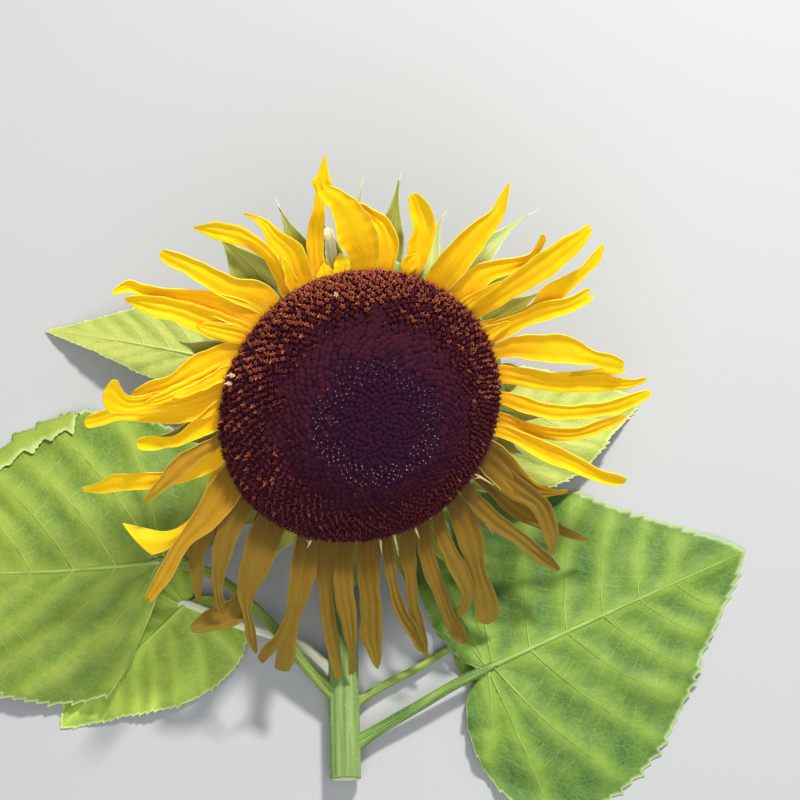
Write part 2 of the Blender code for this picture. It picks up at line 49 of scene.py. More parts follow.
# Stem and neck
STEM_RADIUS = 10.5 * MM
STEM_TOP_RADIUS = 10.0 * MM
STEM_RUN = 290.5 * MM             # cut end to the corner where stem and neck axes meet
STEM_DRIFT = -0.032
NECK_RUN = 91.4 * MM
NECK_TOP_RADIUS = 20.0 * MM
BEND_RADIUS = 42.0 * MM
FLOOR = -STEM_RADIUS
STEM_STEPS = 56
BEND_STEPS = 22
TOP_STEPS = 8
STEM_HAIRS = 34                   # from each step
CUT_RECESS = 0.8 * MM
CUT_BUNDLES = 34
PITH_SIDES = 48
PITH_PROFILE = ((0.25, 6.4), (0.1, 7.2), (0.15, 7.6), (0.96, 7.6))     # level, radius (mm)

# Flower head
FACE = Vector((0.17, -0.52, 0.84)).normalized()
HEAD_DEPTH = 34.0 * MM
RIM_LEVEL = -2.0 * MM
DISC_RADIUS = 90.5 * MM
DISC_EDGE = 86 * MM               # where the floret face turns down, measured over it
DISC_SIDE = 92 * MM               # where it goes over into the rim's side
DISC_SHIFT = Vector((8.0, -9.0)) * MM
RIM_BULGES = ((330, -0.045, 2), (225, 0.075, 4), (115, -0.035, 6))     # clock, growth, narrowness
BUD_DOME_RADIUS = 50.0 * MM
BUD_DOME_LEVEL = 21.8 * MM
BUD_DOME_RISE = 4.5 * MM
BUD_TABLE_EDGE = (46 * MM, 60 * MM)     # where the buds' table goes over into the florets
FACE_LEVEL = 11                   # of the florets at the face's edge (mm)
FACE_RISE = 9.5                   # from there to the middle (mm)
SIDE_DROP = 6                     # from there to the rim's side (mm)
FLORET_LEANS = (3, 66, 80)        # at the middle, added at the side, and under it (degrees)
BED_RINGS = 34
BED_FOOT = 84 * MM                # radius of the bed's underside
BED_REACH = 95 * MM               # reach of its first ring
BED_DEPTH = 1.9 * MM              # how far the bed lies under the florets' feet
# Florets, spread from the middle: open ones, closed ones and buds, from the rim inwards
FLORET_COUNT = 2560
FLORET_REACH = 94.0 * MM
FLORET_SPREAD = 0.53              # 0.5 would space them evenly; more sets the outer ones apart
FLORET_JITTER = 0.30              # mm
FLORET_WOBBLE = 0.16              # sideways, as a share of the axis
OPEN_DEPTH = 1.7 * MM             # how deep their feet stand
CLOSED_DEPTH = 1.2 * MM
OPEN_FROM = 64 * MM
CLOSED_FROM = 44 * MM
SUNLIT_FROM = (62 * MM, 84 * MM)        # where sunlit florets set in, and are the most
SHORTER_FROM = (84 * MM, 90 * MM)       # where open florets get shorter towards the rim
CHAFF_INNER = (24 * MM, 29 * MM)        # where the ring of chaff tips sets in
CHAFF_OUTER = (40 * MM, 43 * MM)        # and ends
STYLE_RINGS = (((0.0, 0.0, 2.1), 0.45), ((0.12, 0.0, 3.4), 0.52), ((0.5, 0.05, 4.5), 0.36),
               ((1.15, 0.1, 4.9), 0.24))                # middle and radius (mm)
PALE_FLORETS = ((280, 88), (276.5, 88), (339, 80))      # clock angle and reach (mm)
# Scales under the rim: clock angle, length (mm), and whether forked
SCALE_REACH = 91 * MM
SCALE_RADII = (0.7, 0.8, 0.5, 0.15)
RIM_SCALES = ((118, 15, True), (152.5, 7, False), (161.7, 13, False), (167.7, 8, False),
              (196, 5, True))
# Back of the head: radius and level of each ring (mm)
RECEPTACLE_PROFILE = (
    (19, -34.5), (24, -33.2), (32, -31.6), (44, -29.6), (56, -27.6), (68, -25.0), (78, -21.8),
    (86, -18.4), (91, -15.8), (93.6, -12.4), (94.2, -8), (93.8, -4.2), (91.5, -2.6), (86, -2.2),
    (60, -2.0), (30, -2.0),
)

# Petals: clock angle of the root seen from the front, lean away from radial, turn along
# the length, length, greatest width, share of the width left at the tip, twist, and row
# (0 back, 1 middle, 2 front). Degrees and millimetres.
RAY_ROOT_RADIUS = 86.0 * MM
RAY_ROOT_WIDTH = 6.8 * MM
RAY_THICKNESS = 1.0 * MM
RAY_GUTTER = 0.10
RAY_SHARES = (0.0, 0.1, 0.3, 0.55, 0.8, 1.0)
ROW_DROOP = (-8.0, -12.0, -18.0)
SEAT_GAP = 0.3 * MM
STRIP_STEPS = 60
RAYS = (
    (3, 35, -140, 82, 12, 0.20, 0, 0),
    (14, 17, -66, 57, 16, 0.60, 0, 1),
    (26, 7, -9, 78, 19, 0.15, 0, 2),
    (36, 15, -8, 70, 13, 0.45, 0, 1),
    (44, 8, -5, 97, 18, 0.30, 0, 2),
    (51, 15, -27, 97, 13, 0.30, 0, 1),
    (58, 6, -6, 76, 12, 0.60, 0, 2),
    (65, 7, 33, 88, 18, 0.35, 0, 2),
    (74, 18, -12, 103, 13, 0.35, 0, 1),
    (83, 25, -50, 102, 10, 0.40, 0, 2),
    (92, 22, -52, 96, 9, 0.40, 0, 0),
    (98, 7, 1, 98, 11, 0.60, 0, 2),
    (105, 10, -18, 66, 17, 0.30, 0, 0),
    (112, 8, 36, 84, 11, 0.15, 0, 2),
    (118, 5, -11, 97, 10, 0.25, 0, 0),
    (125, 7, -7, 88, 11, 0.40, 0, 2),
    (133, 9, 28, 92, 16, 0.70, 0, 1),
    (140, 4, 36, 80, 11, 0.35, 0, 2),
    (148, 13, -12, 94, 10, 0.40, 0, 1),
    (156, 16, -16, 95, 9, 0.30, 0, 1),
    (164, 13, -36, 90, 9, 0.30, 15, 2),
    (172, 3, -7, 90, 14, 0.30, 0, 1),
    (180, -2, -8, 98, 11, 0.35, 0, 2),
    (188, -2, -26, 100, 11, 0.35, 0, 1),
    (197, -12, 15, 96, 17, 0.55, 0, 2),
    (210, 4, -52, 98, 18, 0.20, 10, 1),
    (218, -30, 42, 100, 11, 0.60, 35, 0),
    (224, 4, -72, 90, 10, 0.30, 0, 2),
    (230, 2, -64, 92, 11, 0.15, 0, 1),
    (236, -21, -4, 104, 11, 0.30, 0, 2),
    (243, -26, 38, 90, 15, 0.25, 30, 0),
    (251, -22, 34, 101, 12, 0.20, 0, 0),
    (257, -26, -12, 70, 12, 0.25, 0, 2),
    (263, -28, 34, 60, 9, 0.70, 0, 0),
    (269, -19, 15, 89, 10, 0.25, 0, 1),
    (275, -36, 42, 82, 11, 0.30, 0, 2),
    (281, -40, 7, 64, 10, 0.30, 0, 2),
    (288, -48, 22, 76, 11, 0.30, 0, 1),
    (295, -4, -13, 80, 13, 0.25, 0, 1),
    (303, -12, -25, 93, 12, 0.20, 0, 0),
    (312, -18, -1, 75, 12, 0.70, 0, 1),
    (320, 18, -70, 76, 13, 0.20, 0, 0),
    (328, 12, -46, 62, 10, 0.20, 0, 2),
    (336, 13, 13, 76, 12, 0.15, 0, 1),
    (345, 0, 0, 26, 12, 0.60, 0, 0),
    (354, -4, -36, 60, 24, 0.40, 0, 2),
)
PETAL_THICKNESS = 0.55 * MM
# Lower petals between these clock angles take the ochre slot, the slot of the petals with painted
# shade.
PAINTED_SHADE_CLOCK = (105, 243)          # the clock angles of the lower petals
PETAL_COLUMNS = 16
PETAL_ROWS = 56
CURL_FROM = 0.62                  # share of the length where a petal's end starts to curl


def fifths(ends, *edges):
    """Rows of a petal's outline at every fifth of its length up to 0.8, then at the ends."""
    return tuple(zip((0, 0.2, 0.4, 0.6, 0.8, *ends), edges[::2], edges[1::2]))


# The dressed petals' outlines, along the same lines as their solids. Each row is a share of
# the length, then the left and right edge seen from the root (mm). Where the rows stand at
# fifths, only the left and right edges are listed. The last row is the petal's end.
PETAL_EDGES = (
    fifths((1.05,), -4, 7.5, -8.5, 4.4, -13.5, -1.8, -18, -9.4, -19.5, -11.5, -13, -8),
    fifths((1.0,), -6, 6, -7, 6.5, -9, 6.8, -6.7, 7.8, -7.7, 5.8, -5, 1),
    fifths((0.95, 1.06), -8, 9, -10, 10, -9.5, 9.5, -6.6, 9.3, 0, 9, 0, 5, 0.6, 1.6),
    fifths((0.9, 1.02), -8, 8, -9, 8, -9.5, 5, -2.5, 9, 5.6, 12, 4.2, 9, -0.5, 4),
    fifths((0.94, 1.02), -8, 8, -6, 8, -6.5, 7.8, -8.5, 8.6, -8, 6.8, -5.2, 4.5, -3.6, 0.5),
    ((0, -2, 8), (0.2, 2, 10), (0.4, 3, 12), (0.5, -1.5, 11), (0.6, -2.5, 11), (0.7, 0, 9.5),
     (0.8, 1.8, 8.5), (0.92, 0.5, 7.4), (1.02, 0.2, 2)),
    fifths((1.02,), -6, 5, -9, 4.5, -8.5, 1.8, -9.6, 3.5, -5.2, 5, -4.6, 4),
    ((0, -5, 5), (0.1, -6, 4.4), (0.2, -9, 5), (0.4, -10, 8.2), (0.58, -10, 8.3), (0.66, -7.5, 8),
     (0.74, -4, 7.4), (0.8, -3, 7.2), (0.95, -3, 7), (1.04, -1.5, 5)),
    ((0, -6, 6), (0.2, -4.5, 8), (0.4, -2.6, 10.3), (0.6, -3.8, 10.5), (0.7, -3, 10.5),
     (0.8, 1.6, 10.4), (0.9, 4.3, 10.2), (1.01, 4.4, 8)),
    fifths((0.92, 1.02), -2, 6, -2.5, 7.7, -0.5, 9, -0.5, 8.7, 0, 9.5, 0.5, 9, 4, 7.4),
    fifths((1.0,), -3, 5, -2, 5.2, -1.5, 7, -1, 7.5, -3, 5.5, 0, 3),
    fifths((0.94, 1.01), -4, 4, -4.5, 4.5, -4.5, 8, -2.4, 8.2, 0.7, 9.2, 0, 8, 0.6, 5),
    ((0, -5, 15), (0.2, -3, 20), (0.4, 3, 24), (0.6, 10, 24), (0.72, 11.4, 21), (0.8, 12, 17.5),
     (0.97, 11, 13.4)),
    fifths((0.9, 1.0), -6, 8, -7, 9.5, -9, 6.5, -12.5, 0, -10, 1.6, -6.4, 2, -1, 1),
    fifths((1.05,), -8, 4, -7.5, 6.5, -3.6, 10.5, -1.6, 9.5, -0.4, 6.5, 0.6, 3),
    fifths((0.93, 1.01), -4, 5, -2.5, 8, -3, 8, -4.5, 5, -5.2, 4, -4.5, 2.6, -2.6, 0.6),
    fifths((0.9, 1.03), -5, 5, -7.5, 8.6, -6, 10.6, -1, 9, -3.8, 10, -5, 11, -2.6, 9.5),
    fifths((0.9, 1.0), -4, 5, 0.8, 9.5, 0, 10, -5, 7.5, -6.5, 1.4, -3, 4, 0.6, 5),
    fifths((0.9, 1.01), -5, 3.5, -1.8, 8.5, -0.8, 10, 0, 8.7, 0, 9, -1.5, 9, 0, 5),
    fifths((1.01,), -6, 2, -5, 5.7, -3, 4.6, -1.2, 6.2, -1.5, 6, 1.6, 4),
    fifths((1.0,), -3, 5, -3, 4, -2.5, 3.7, -3, 4.5, -5, 2.5, -2.6, 2),
    fifths((0.9, 1.05), -6, 6, -8, 8, -6.5, 7.4, -7, 7, -6, 8.4, -5, 5, -2.4, 0.6),
    fifths((1.0,), -6, 6, -2.6, 9, -3.5, 9.6, -5, 6, -3.6, 2, -2, 2),
    fifths((1.03,), -6, 6, -8, 8, -5.6, 4.6, -6.4, 3, -7, 2, -4.4, 1),
    ((0, -5, 5), (0.2, -9, 7.5), (0.4, -10.3, 6), (0.6, -8.6, 2.6), (0.7, -9.6, 2),
     (0.8, -12, 3.5), (0.9, -15, 7), (1.03, -15.5, 7.5)),
    ((0, -4.5, 12), (0.2, -7.5, 14), (0.4, -8, 11.6), (0.6, -2, 9.6), (0.7, 0, 5.8),
     (0.8, -2.4, 4), (0.9, -3, 3.6), (1.01, -2.4, 0.4)),
    ((0, -4, 4), (0.2, -6, 3), (0.4, -11, -4), (0.55, -19, -10), (0.64, -26, -12),
     (0.74, -26.5, -10), (0.85, -21.5, -6.5), (0.98, -13.5, -9)),
    fifths((1.0,), -4, 5, -5, 10, -6, 8.4, -5.5, 5.8, -2, 4, -4, 4.6),
    fifths((0.9, 1.01), -7, 8, -10, 10, -7.6, 9.4, -3.4, 8.6, -5, 3.3, -4.5, 1.5, -3, -1.2),
    fifths((1.01,), -9, 9, -11, 11, -9, 8, -2.4, 7, -5, 5.6, -3.6, 2),
    ((0, -7, 9), (0.2, -12, 3), (0.4, -18, -10), (0.55, -24, -17), (0.7, -28, -17),
     (0.84, -28, -9.5), (0.95, -22, -5)),
    fifths((0.9, 1.01), -9, 6, -14, 0, -12.5, -3, -9, 2, -6.5, 5, -7, 0.5, -5, -2.6),
    fifths((0.94, 1.06), -8, 0, -10, -2, -9, 1.6, -8.5, 4, -7.4, 1.4, -6, 0, -4.4, -1.6),
    ((0, -6, 9), (0.2, -9, 6.5), (0.4, -10, 2), (0.6, -12.3, -5), (0.7, -12, -5.4),
     (0.82, -12, -2.8), (0.98, -10.6, -2.6)),
    fifths((0.9, 1.03), -9, 5, -11, 4, -10.5, 4, -6.6, 5, -3.6, 6, -6.4, 3.6, -8.4, -1),
    fifths((0.87, 0.93, 0.98, 1.02), -5, 5, -5, 5, -5, 3.4, -6, 5, -8, 2.8, -8, 6.5, -8, 13,
           -6, 14.5, -3, 11),
    ((0, -5, 5), (0.2, -5, 5), (0.6, -5, 5), (0.8, -4, 4), (1.0, -1.6, 1.6)),
    fifths((0.95,), -6, 6, -8, 7, -9, 6, -12, -1.4, -14, -3.5, -14, -10),
    fifths((1.02,), -5, 9, -8, 9, -7.8, 9, -5.8, 8, -6.4, 6.6, -1, 1.6),
    fifths((0.9, 1.01), -8, 8, -8, 9, -6, 7.3, -5, 3.8, -4, 3.7, -1.6, 6.4, -3.6, -1.4),
    fifths((0.95, 1.05), -8, 8, -9, 10, -10, 4.8, -9, 4, -7.6, 3.3, -7.8, 1.6, -6.4, 0),
    fifths((1.01,), -3, 8, -1, 9, 0, 8, -3.4, 8, -6, 5.7, -2.4, -0.8),
    fifths((1.0,), -8, 8, -8, 9, -7, 10, -6.3, 5.3, -1.6, 4.2, -0.8, 0.4),
    ((0, -8.4, 7.3), (0.2, -6.5, 4.6), (0.4, -5.9, 4.7), (0.55, -3, 5), (0.68, -1.4, 6),
     (0.74, -1.6, 7.8), (0.785, -4.4, 9), (0.82, -4.2, 8.2), (0.85, -1.8, 7), (0.93, 0, 4.8),
     (1.03, 1.6, 2.8)),
    ((0, -6, 2), (0.4, -8, -0.6), (0.8, -6.8, -0.3), (1.13, -6.2, -1)),
    fifths((0.94, 1.07), -6.6, 8.6, -8.6, 12.5, -12.6, 13, -10.6, 11, -8, 7.4, -8.4, 3.4,
           -8.6, -1),
)
# Shape of the end of some petals, by their numbers; the others get theirs by chance
END_SHAPES = {
    "round": (2, 4, 8, 9, 12, 17, 19, 27, 34, 35, 36, 41, 45),
    "notch": (5, 7, 23, 46),
    "fork": (25,),
    "slant": (31,),
}
# Curls of the end towards the viewer (degrees) and of the sides (radians), where strong
TIP_CURLS = {1: -30, 2: 20, 4: 35, 34: 60, 36: 38, 40: 26, 31: 20, 27: 12}
SIDE_ROLLS = {34: 3.0, 1: 1.4, 27: 1.5, 31: -1.4, 40: 1.8, 12: 1.5, 2: 1.4, 45: 1.8}
# Petals that stand in front of their neighbours, by this many mm more than their solids
RISES = {13: 5.0}
# Small petals that share a big one's line: its number, height over it (mm), and edges
SMALL_PETAL_FORM = 60             # number that the first one's form is dealt by
SMALL_PETALS = (
    (45, 2.5, ((-0.12, -4, 4), (0.1, -4.5, 6), (0.3, -4.2, 6.6), (0.5, -3, 5))),
    (45, 3.2, ((-0.14, -14, -5), (0.06, -16, -4), (0.22, -15.6, -4.4), (0.34, -14, -6))),
    (2, 2.0, ((0.02, -6, 0), (0.12, -8.4, 1), (0.22, -8, 2.6), (0.32, -3.4, 3))),
    (9, 1.2, ((0.5, -3.4, 0), (0.62, -4.8, -1), (0.7, -6.2, -1), (0.78, -5.2, -0.8),
              (0.85, -4, -1.4))),
    (43, 1.6, ((0, -9, -1), (0.15, -9, -2), (0.3, -7, -3), (0.42, -5.4, -4))),
    (5, 1.8, ((0, -9, 0), (0.12, -9, -1.5), (0.24, -8, -3.4), (0.34, -6.6, -5))),
    (7, 1.8, ((0, -7, 3), (0.12, -8, 1), (0.22, -7, -2), (0.3, -6, -4))),
    (37, 2.0, ((0, -6, 3), (0.2, -6, 2), (0.45, -5, 1), (0.7, -3, 0.4))),
    (39, 1.6, ((0, -4, 6), (0.15, -6, 5), (0.3, -6.4, 2), (0.42, -5, -2))),
)

# Bracts: clock angle, length and base width, in two rows behind the petals
INNER_BRACTS = (
    (4, 50, 20), (32.5, 67, 26), (54, 43, 24), (92, 26, 20), (118, 30, 20),
    (146, 54, 20), (178, 54, 22), (204, 24, 20), (230, 34, 20), (256, 38, 22),
    (284, 30, 20), (314.5, 50, 34), (341, 36, 20),
)
OUTER_BRACTS = (
    (19, 37, 20), (46, 42, 22), (78, 24, 20), (105, 26, 20), (132, 46, 20),
    (160, 48, 20), (192, 60, 22), (217, 24, 20), (245, 36, 20), (270, 32, 20),
    (298, 34, 20), (332.5, 42, 18), (353, 44, 13),
)
BRACT_ROOT_RADIUS = 93.3 * MM
BRACT_ROWS = (
    ("bracts_inner", INNER_BRACTS, -6.2 * MM, -7.0),
    ("bracts_outer", OUTER_BRACTS, -12.4 * MM, -17.0),
)
BRACT_THICKNESS = 0.9 * MM
# Threads at the tips of long bracts, but not in this span of clock angles (mm, degrees)
THREAD_FROM = 36
THREADLESS = (50, 320)
THREAD_RADII = (0.5, 0.42, 0.3, 0.1)
EDGE_HAIRS = 130                  # on each bract
FACE_HAIRS = 110
BRACT_WIDTHS = ((0, 0.92), (0.12, 1.0), (0.3, 0.88), (0.5, 0.58), (0.7, 0.25), (0.85, 0.09),
                (1.0, 0.025))

# Leaves. The outline is given round the point where the leaf stalk meets the blade:
# angle from the midrib, and reach as a share of the blade's length.
LEAF_OUTLINE = (
    (0, 1.00), (8, 0.86), (18, 0.74), (32, 0.66), (50, 0.60), (70, 0.55),
    (92, 0.50), (115, 0.42), (138, 0.30), (158, 0.17), (172, 0.06),
)
LEAF_LAST_ANGLE = 172
LEAF_TEETH = 40                   # on each side
TOOTH_PROFILE = (1.0, 0.58, 0.26, 0.0)     # height at each column, from the tooth's tip back
LEAF_SPOKES = 2 * LEAF_TEETH * len(TOOTH_PROFILE)    # columns, from margin to margin
LEAF_RINGS = 38
FULL_LEAF = 200                   # a blade this long (mm) has the full relief
LEAF_TOOTH = 3.4 * MM             # deepest tooth on a full blade
LEAF_THICKNESS = 0.7 * MM
QUILT_DEPTH = 3.0 * MM            # of the hollows between the veins
QUILT_REACH = 9 * MM              # from a vein to near that depth
HOLLOW_REACH = 7 * MM             # the same for the darker green
EDGE_WAVE = 2.2 * MM
WRINKLE_SIZE = 11 * MM
WRINKLE_HEIGHT = 0.9 * MM
WRINKLE_FADE = 5 * MM             # none at a vein, full this far off
LEAF_SEAT = 1.1 * MM              # middle of the blade above the lower face of its solid
FOLD_HOLLOW = -0.7                # how light the turned-over strip is
STALK_RINGS = 43
STALK_HAIRS = 11                  # from each ring
# name: base of the blade (x, y, z), heading, turn and length, then for the left and right
# halves their width, how far the lobe reaches back and how far the half is raked forward
# (as shares), sag of the margins, stalk radius, and stalk points from inside its carrier
# to the base. Millimetres and degrees, heading from +X towards +Y. A fold turns a strip of
# the margin over: the half, its first and last angle from the midrib, and its width share.
LEAVES = {
    "leaf_upper_left": dict(
        base=(-84, 283, 18), heading=166, turn=0, length=135, spread=(0.35, 0.54),
        lobes=(0.8, 0.8), rake=(-0.3, 0), sag=10, radius=3.6, tone="pale", fold=None,
        stalk=((-4, 240, 8), (-24, 254, 18), (-54, 270, 23))),
    "leaf_lower_left": dict(
        base=(-121, 142, 18), heading=187, turn=-14, length=205, spread=(0.80, 1.10),
        lobes=(0.1, 1.35), rake=(0.5, 0.28), sag=16, radius=4.2, tone="fresh",
        fold=(1, 18, 76, 0.11),
        stalk=((-2, 50, 0), (-24, 71, 7), (-54, 104, 17), (-88, 132, 21))),
    # This leaf's light tone is painted light, for a leaf that lies in shade.
    "leaf_foot_left": dict(
        base=(-108, 117, 1), heading=225, turn=0, length=116, spread=(0.88, 0.95),
        lobes=(0.8, 0.8), rake=(0, 0), sag=7, radius=3.6, tone="light", fold=None,
        stalk=((-3, 64, -2), (-17, 78, 1), (-34, 90, 4), (-72, 102, 5))),
    "leaf_upper_right": dict(
        base=(74, 228, 22), heading=16, turn=0, length=136, spread=(0.66, 0.69),
        lobes=(0.8, 0.1), rake=(0, 0.5), sag=12, radius=3.6, tone="pale", fold=None,
        stalk=((-4, 240, 8), (20, 240, 17), (47, 234, 22))),
    "leaf_lower_right": dict(
        base=(94, 73, 1), heading=25, turn=0, length=196, spread=(1.22, 1.08),
        lobes=(0.45, 0.7), rake=(0, 0), sag=8, radius=4.2, tone="deep", fold=None,
        stalk=((2, 20, 0), (20, 32, 0), (48, 48, 2), (72, 62, 3))),
    "leaf_foot_right": dict(
        base=(77, 94, -7), heading=34, turn=-14, length=74, spread=(0.80, 0.95),
        lobes=(0.7, 0.8), rake=(0, 0), sag=4, radius=3.0, tone="fresh", fold=None,
        stalk=((0, 46, -3), (20, 60, -4), (50, 76, -5))),
}
# Side veins: where each leaves the midrib (share of the length) and the angle of the
# point on the margin that it runs to
SIDE_VEINS = ((0.0, 128), (0.0, 92), (0.02, 62), (0.16, 44), (0.30, 31), (0.44, 22), (0.58, 14),
              (0.72, 8))
VEIN_END = 0.94                   # share of the reach where side veins end
VEIN_STEPS = 18
VEIN_BOW = (0.36, 0.60)           # where a side vein bends, along and across
BRANCH_GAP = 0.09                 # shortest branch between two veins, as a share of the length
BRANCH_END = 0.96

# Looks; colours are linear
SOAK_DEPTH = 0.002
# On a petal this pale edge is a painted backlit glow.
BLADE_RIM = 0.7                   # share of the pale colour at the edge of a petal or bract
WHITE = (1.0, 1.0, 1.0)
# Besides the bright yellow and the cream, each tone is a darker copy of the yellow: painted shade
# on the lower petals under the head, milder at the edges of that band.
PETAL_TONES = {
    "bright": ((0.86, 0.42, 0.004), (1.0, 0.56, 0.002), (1.0, 0.66, 0.004)),
    "amber_painted_shade": ((0.60, 0.29, 0.006), (0.84, 0.46, 0.004), (0.95, 0.60, 0.008)),
    "gold_painted_shade": ((0.20, 0.10, 0.012), (0.40, 0.22, 0.012), (0.50, 0.31, 0.018)),
    "tan": ((0.115, 0.058, 0.010), (0.24, 0.14, 0.014), (0.62, 0.40, 0.03)),
    "cream": ((0.40, 0.34, 0.09), (0.50, 0.46, 0.16), (0.85, 0.84, 0.66)),
    "ochre": ((0.115, 0.058, 0.010), (0.215, 0.130, 0.014), (0.225, 0.160, 0.022)),
}
# The petals that take each tone; the listed ones other than the cream carry painted shade, and all
# others are bright.
TONE_PETALS = {"tan": (13,), "ochre": range(13, 30), "gold_painted_shade": (30, 33), "amber_painted_shade": (11, 31),
               "cream": (45,)}
LEAF_TONES = {
    "pale": ((0.50, 0.56, 0.13), (0.36, 0.44, 0.08)),
    "fresh": ((0.30, 0.40, 0.055), (0.11, 0.21, 0.03)),
    "deep": ((0.22, 0.35, 0.045), (0.045, 0.13, 0.025)),
    # A lighter copy of the fresh green: painted light for a leaf that lies in shade.
    "light": ((0.46, 0.61, 0.085), (0.25, 0.39, 0.05)),
}
BRACT_TONES = {
    # The pale tone is a lighter copy of the bract green: painted light on the bracts that stand in
    # the light.
    "pale": ((0.56, 0.63, 0.25), (0.38, 0.48, 0.14)),
    "olive": ((0.38, 0.38, 0.055), (0.23, 0.25, 0.035)),
}
SKINS = {
    # Near-white cream: partly the stalk's own pale colour, partly painted light that lifts it out
    # of the head's shade.
    "stalk_cream": ("stalk_cream", (0.97, 0.96, 0.78), (0.84, 0.86, 0.55)),
    "stem": ("stem_green", (0.26, 0.38, 0.11), (0.13, 0.23, 0.05)),
    "receptacle": ("receptacle_green", (0.38, 0.50, 0.15), (0.22, 0.33, 0.08)),
}
# Name, light and dark colour, scale of the blotches, roughness
PALE_MATTERS = {
    "pith": ("pith_white", (0.82, 0.82, 0.68), (0.62, 0.64, 0.46), 700.0, 0.9),
    "fibre": ("fibre_green", (0.55, 0.60, 0.30), (0.34, 0.42, 0.16), 900.0, 0.6),
    "floret_pale": ("floret_pale", (0.80, 0.62, 0.36), (0.58, 0.40, 0.18), 500.0, 0.6),
    "hair": ("hair_white", (0.80, 0.84, 0.66), (0.62, 0.68, 0.46), 300.0, 0.4),
}
FLORET_TONES = {
    "bed": ((0.055, 0.009, 0.018), (0.032, 0.005, 0.012)),
    "floret_tube": ((0.12, 0.018, 0.022), (0.05, 0.009, 0.014)),
    "floret_lobe": ((0.13, 0.022, 0.028), (0.065, 0.012, 0.019)),
    "floret_style": ((0.10, 0.016, 0.020), (0.045, 0.008, 0.013)),
    "floret_style_tip": ((0.18, 0.040, 0.034), (0.10, 0.022, 0.020)),
    # Warm copies of the lobe and style colours: painted sunlight on open florets towards the top of
    # the rim.
    "floret_lobe_painted_sun": ((0.36, 0.088, 0.044), (0.20, 0.042, 0.024)),
    "floret_style_painted_sun": ((0.34, 0.086, 0.044), (0.19, 0.040, 0.023)),
    "floret_style_tip_painted_sun": ((0.48, 0.16, 0.074), (0.28, 0.084, 0.042)),
    "floret_dark": ((0.050, 0.007, 0.018), (0.032, 0.005, 0.013)),
    "floret_dark_top": ((0.052, 0.008, 0.019), (0.034, 0.006, 0.014)),
    "bud": ((0.030, 0.005, 0.020), (0.020, 0.004, 0.015)),
    "bud_top": ((0.032, 0.006, 0.022), (0.022, 0.004, 0.016)),
    "chaff": ((0.48, 0.34, 0.27), (0.28, 0.18, 0.15)),
}
# Looks of an open floret's cup, lobes, style and its tip, then of a sunlit one's
OPEN_LOOKS = ("floret_tube", "floret_lobe", "floret_style", "floret_style_tip", "floret_tube",
              "floret_lobe_painted_sun", "floret_style_painted_sun", "floret_style_tip_painted_sun")
MATERIALS = {}
# Bracts that take the pale tone, as painted light.
PAINTED_LIT_BRACTS = (32.5, 353, 19)     # clock angles
BRACT_DRIFTS = {32.5: 13.5, 353: 7.0}       # how far the tip stands clockwise of the root (mm)

CAMERA_ELEVATION = 72.0
CAMERA_DISTANCE = 1.30
CAMERA_LENS = 91.4
CAMERA_AIM = Vector((23.7, 1.9)) * MM      # from the head's middle, right and up in the view
# Lights: name, direction, size, power and colour
LIGHT_DISTANCE = 2.0              # from the head's middle
LIGHTS = (
    ("key_light", (0.30, 0.62, 0.72), 0.26, 54.0, (1.0, 0.97, 0.90)),
    ("fill_light", (0.0, -0.62, 0.78), 1.6, 22.0, (0.97, 0.98, 1.0)),
)
BACKDROP = (0.93, 0.96, 1.0, 1.0)
BACKDROP_STRENGTH = 0.32


# ---------------------------------------------------------------- modelling helpers

def deselect_all():
    bpy.ops.object.select_all(action="DESELECT")


def activate(piece):
    deselect_all()
    piece.select_set(True)
    bpy.context.view_layer.objects.active = piece


def grid_sheet(name, columns, rows, place):
    """A grid of columns x rows cells, laid by place(u, v): u across and v along, 0 to 1."""
    deselect_all()
    bpy.ops.mesh.primitive_grid_add(x_subdivisions=columns, y_subdivisions=rows, size=1)
    sheet = bpy.context.object
    sheet.name = sheet.data.name = name
    for vertex in sheet.data.vertices:
        vertex.co = place(vertex.co.x + 0.5, vertex.co.y + 0.5)
    return sheet


def straight_rod(name, sides, rings):
    """A closed rod of radius 1 along +Z with a ring of corners at each whole number."""
    deselect_all()
    bpy.ops.mesh.primitive_circle_add(vertices=sides, radius=1, fill_type="NGON")
    rod = bpy.context.object
    bpy.ops.object.mode_set(mode="EDIT")
    for _ in range(rings):
        bpy.ops.mesh.extrude_region_move(TRANSFORM_OT_translate={"value": (0, 0, 1)})
    bpy.ops.object.mode_set(mode="OBJECT")
    rod.name = rod.data.name = name
    return rod


def set_rings(rod, place):
    """Sets each corner of a straight rod by place(ring, angle)."""
    for vertex in rod.data.vertices:
        vertex.co = place(round(vertex.co.z), math.atan2(vertex.co.y, vertex.co.x))


def wrap_map(rod, unrolled):
    """A UV map on a rod; unrolled(corner) gives its x, y for the turn, and its v."""
    layer = rod.data.uv_layers.active
    spots = [unrolled(vertex.co) for vertex in rod.data.vertices]
    for face in rod.data.polygons:
        turns = [math.atan2(spots[index][1], spots[index][0]) / math.tau % 1.0
                 for index in face.vertices]
        crosses = max(turns) - min(turns) > 0.5
        for loop, index, turn in zip(face.loop_indices, face.vertices, turns):
            turn += 1.0 if crosses and turn < 0.5 else 0.0
            layer.data[loop].uv = (turn, spots[index][2])


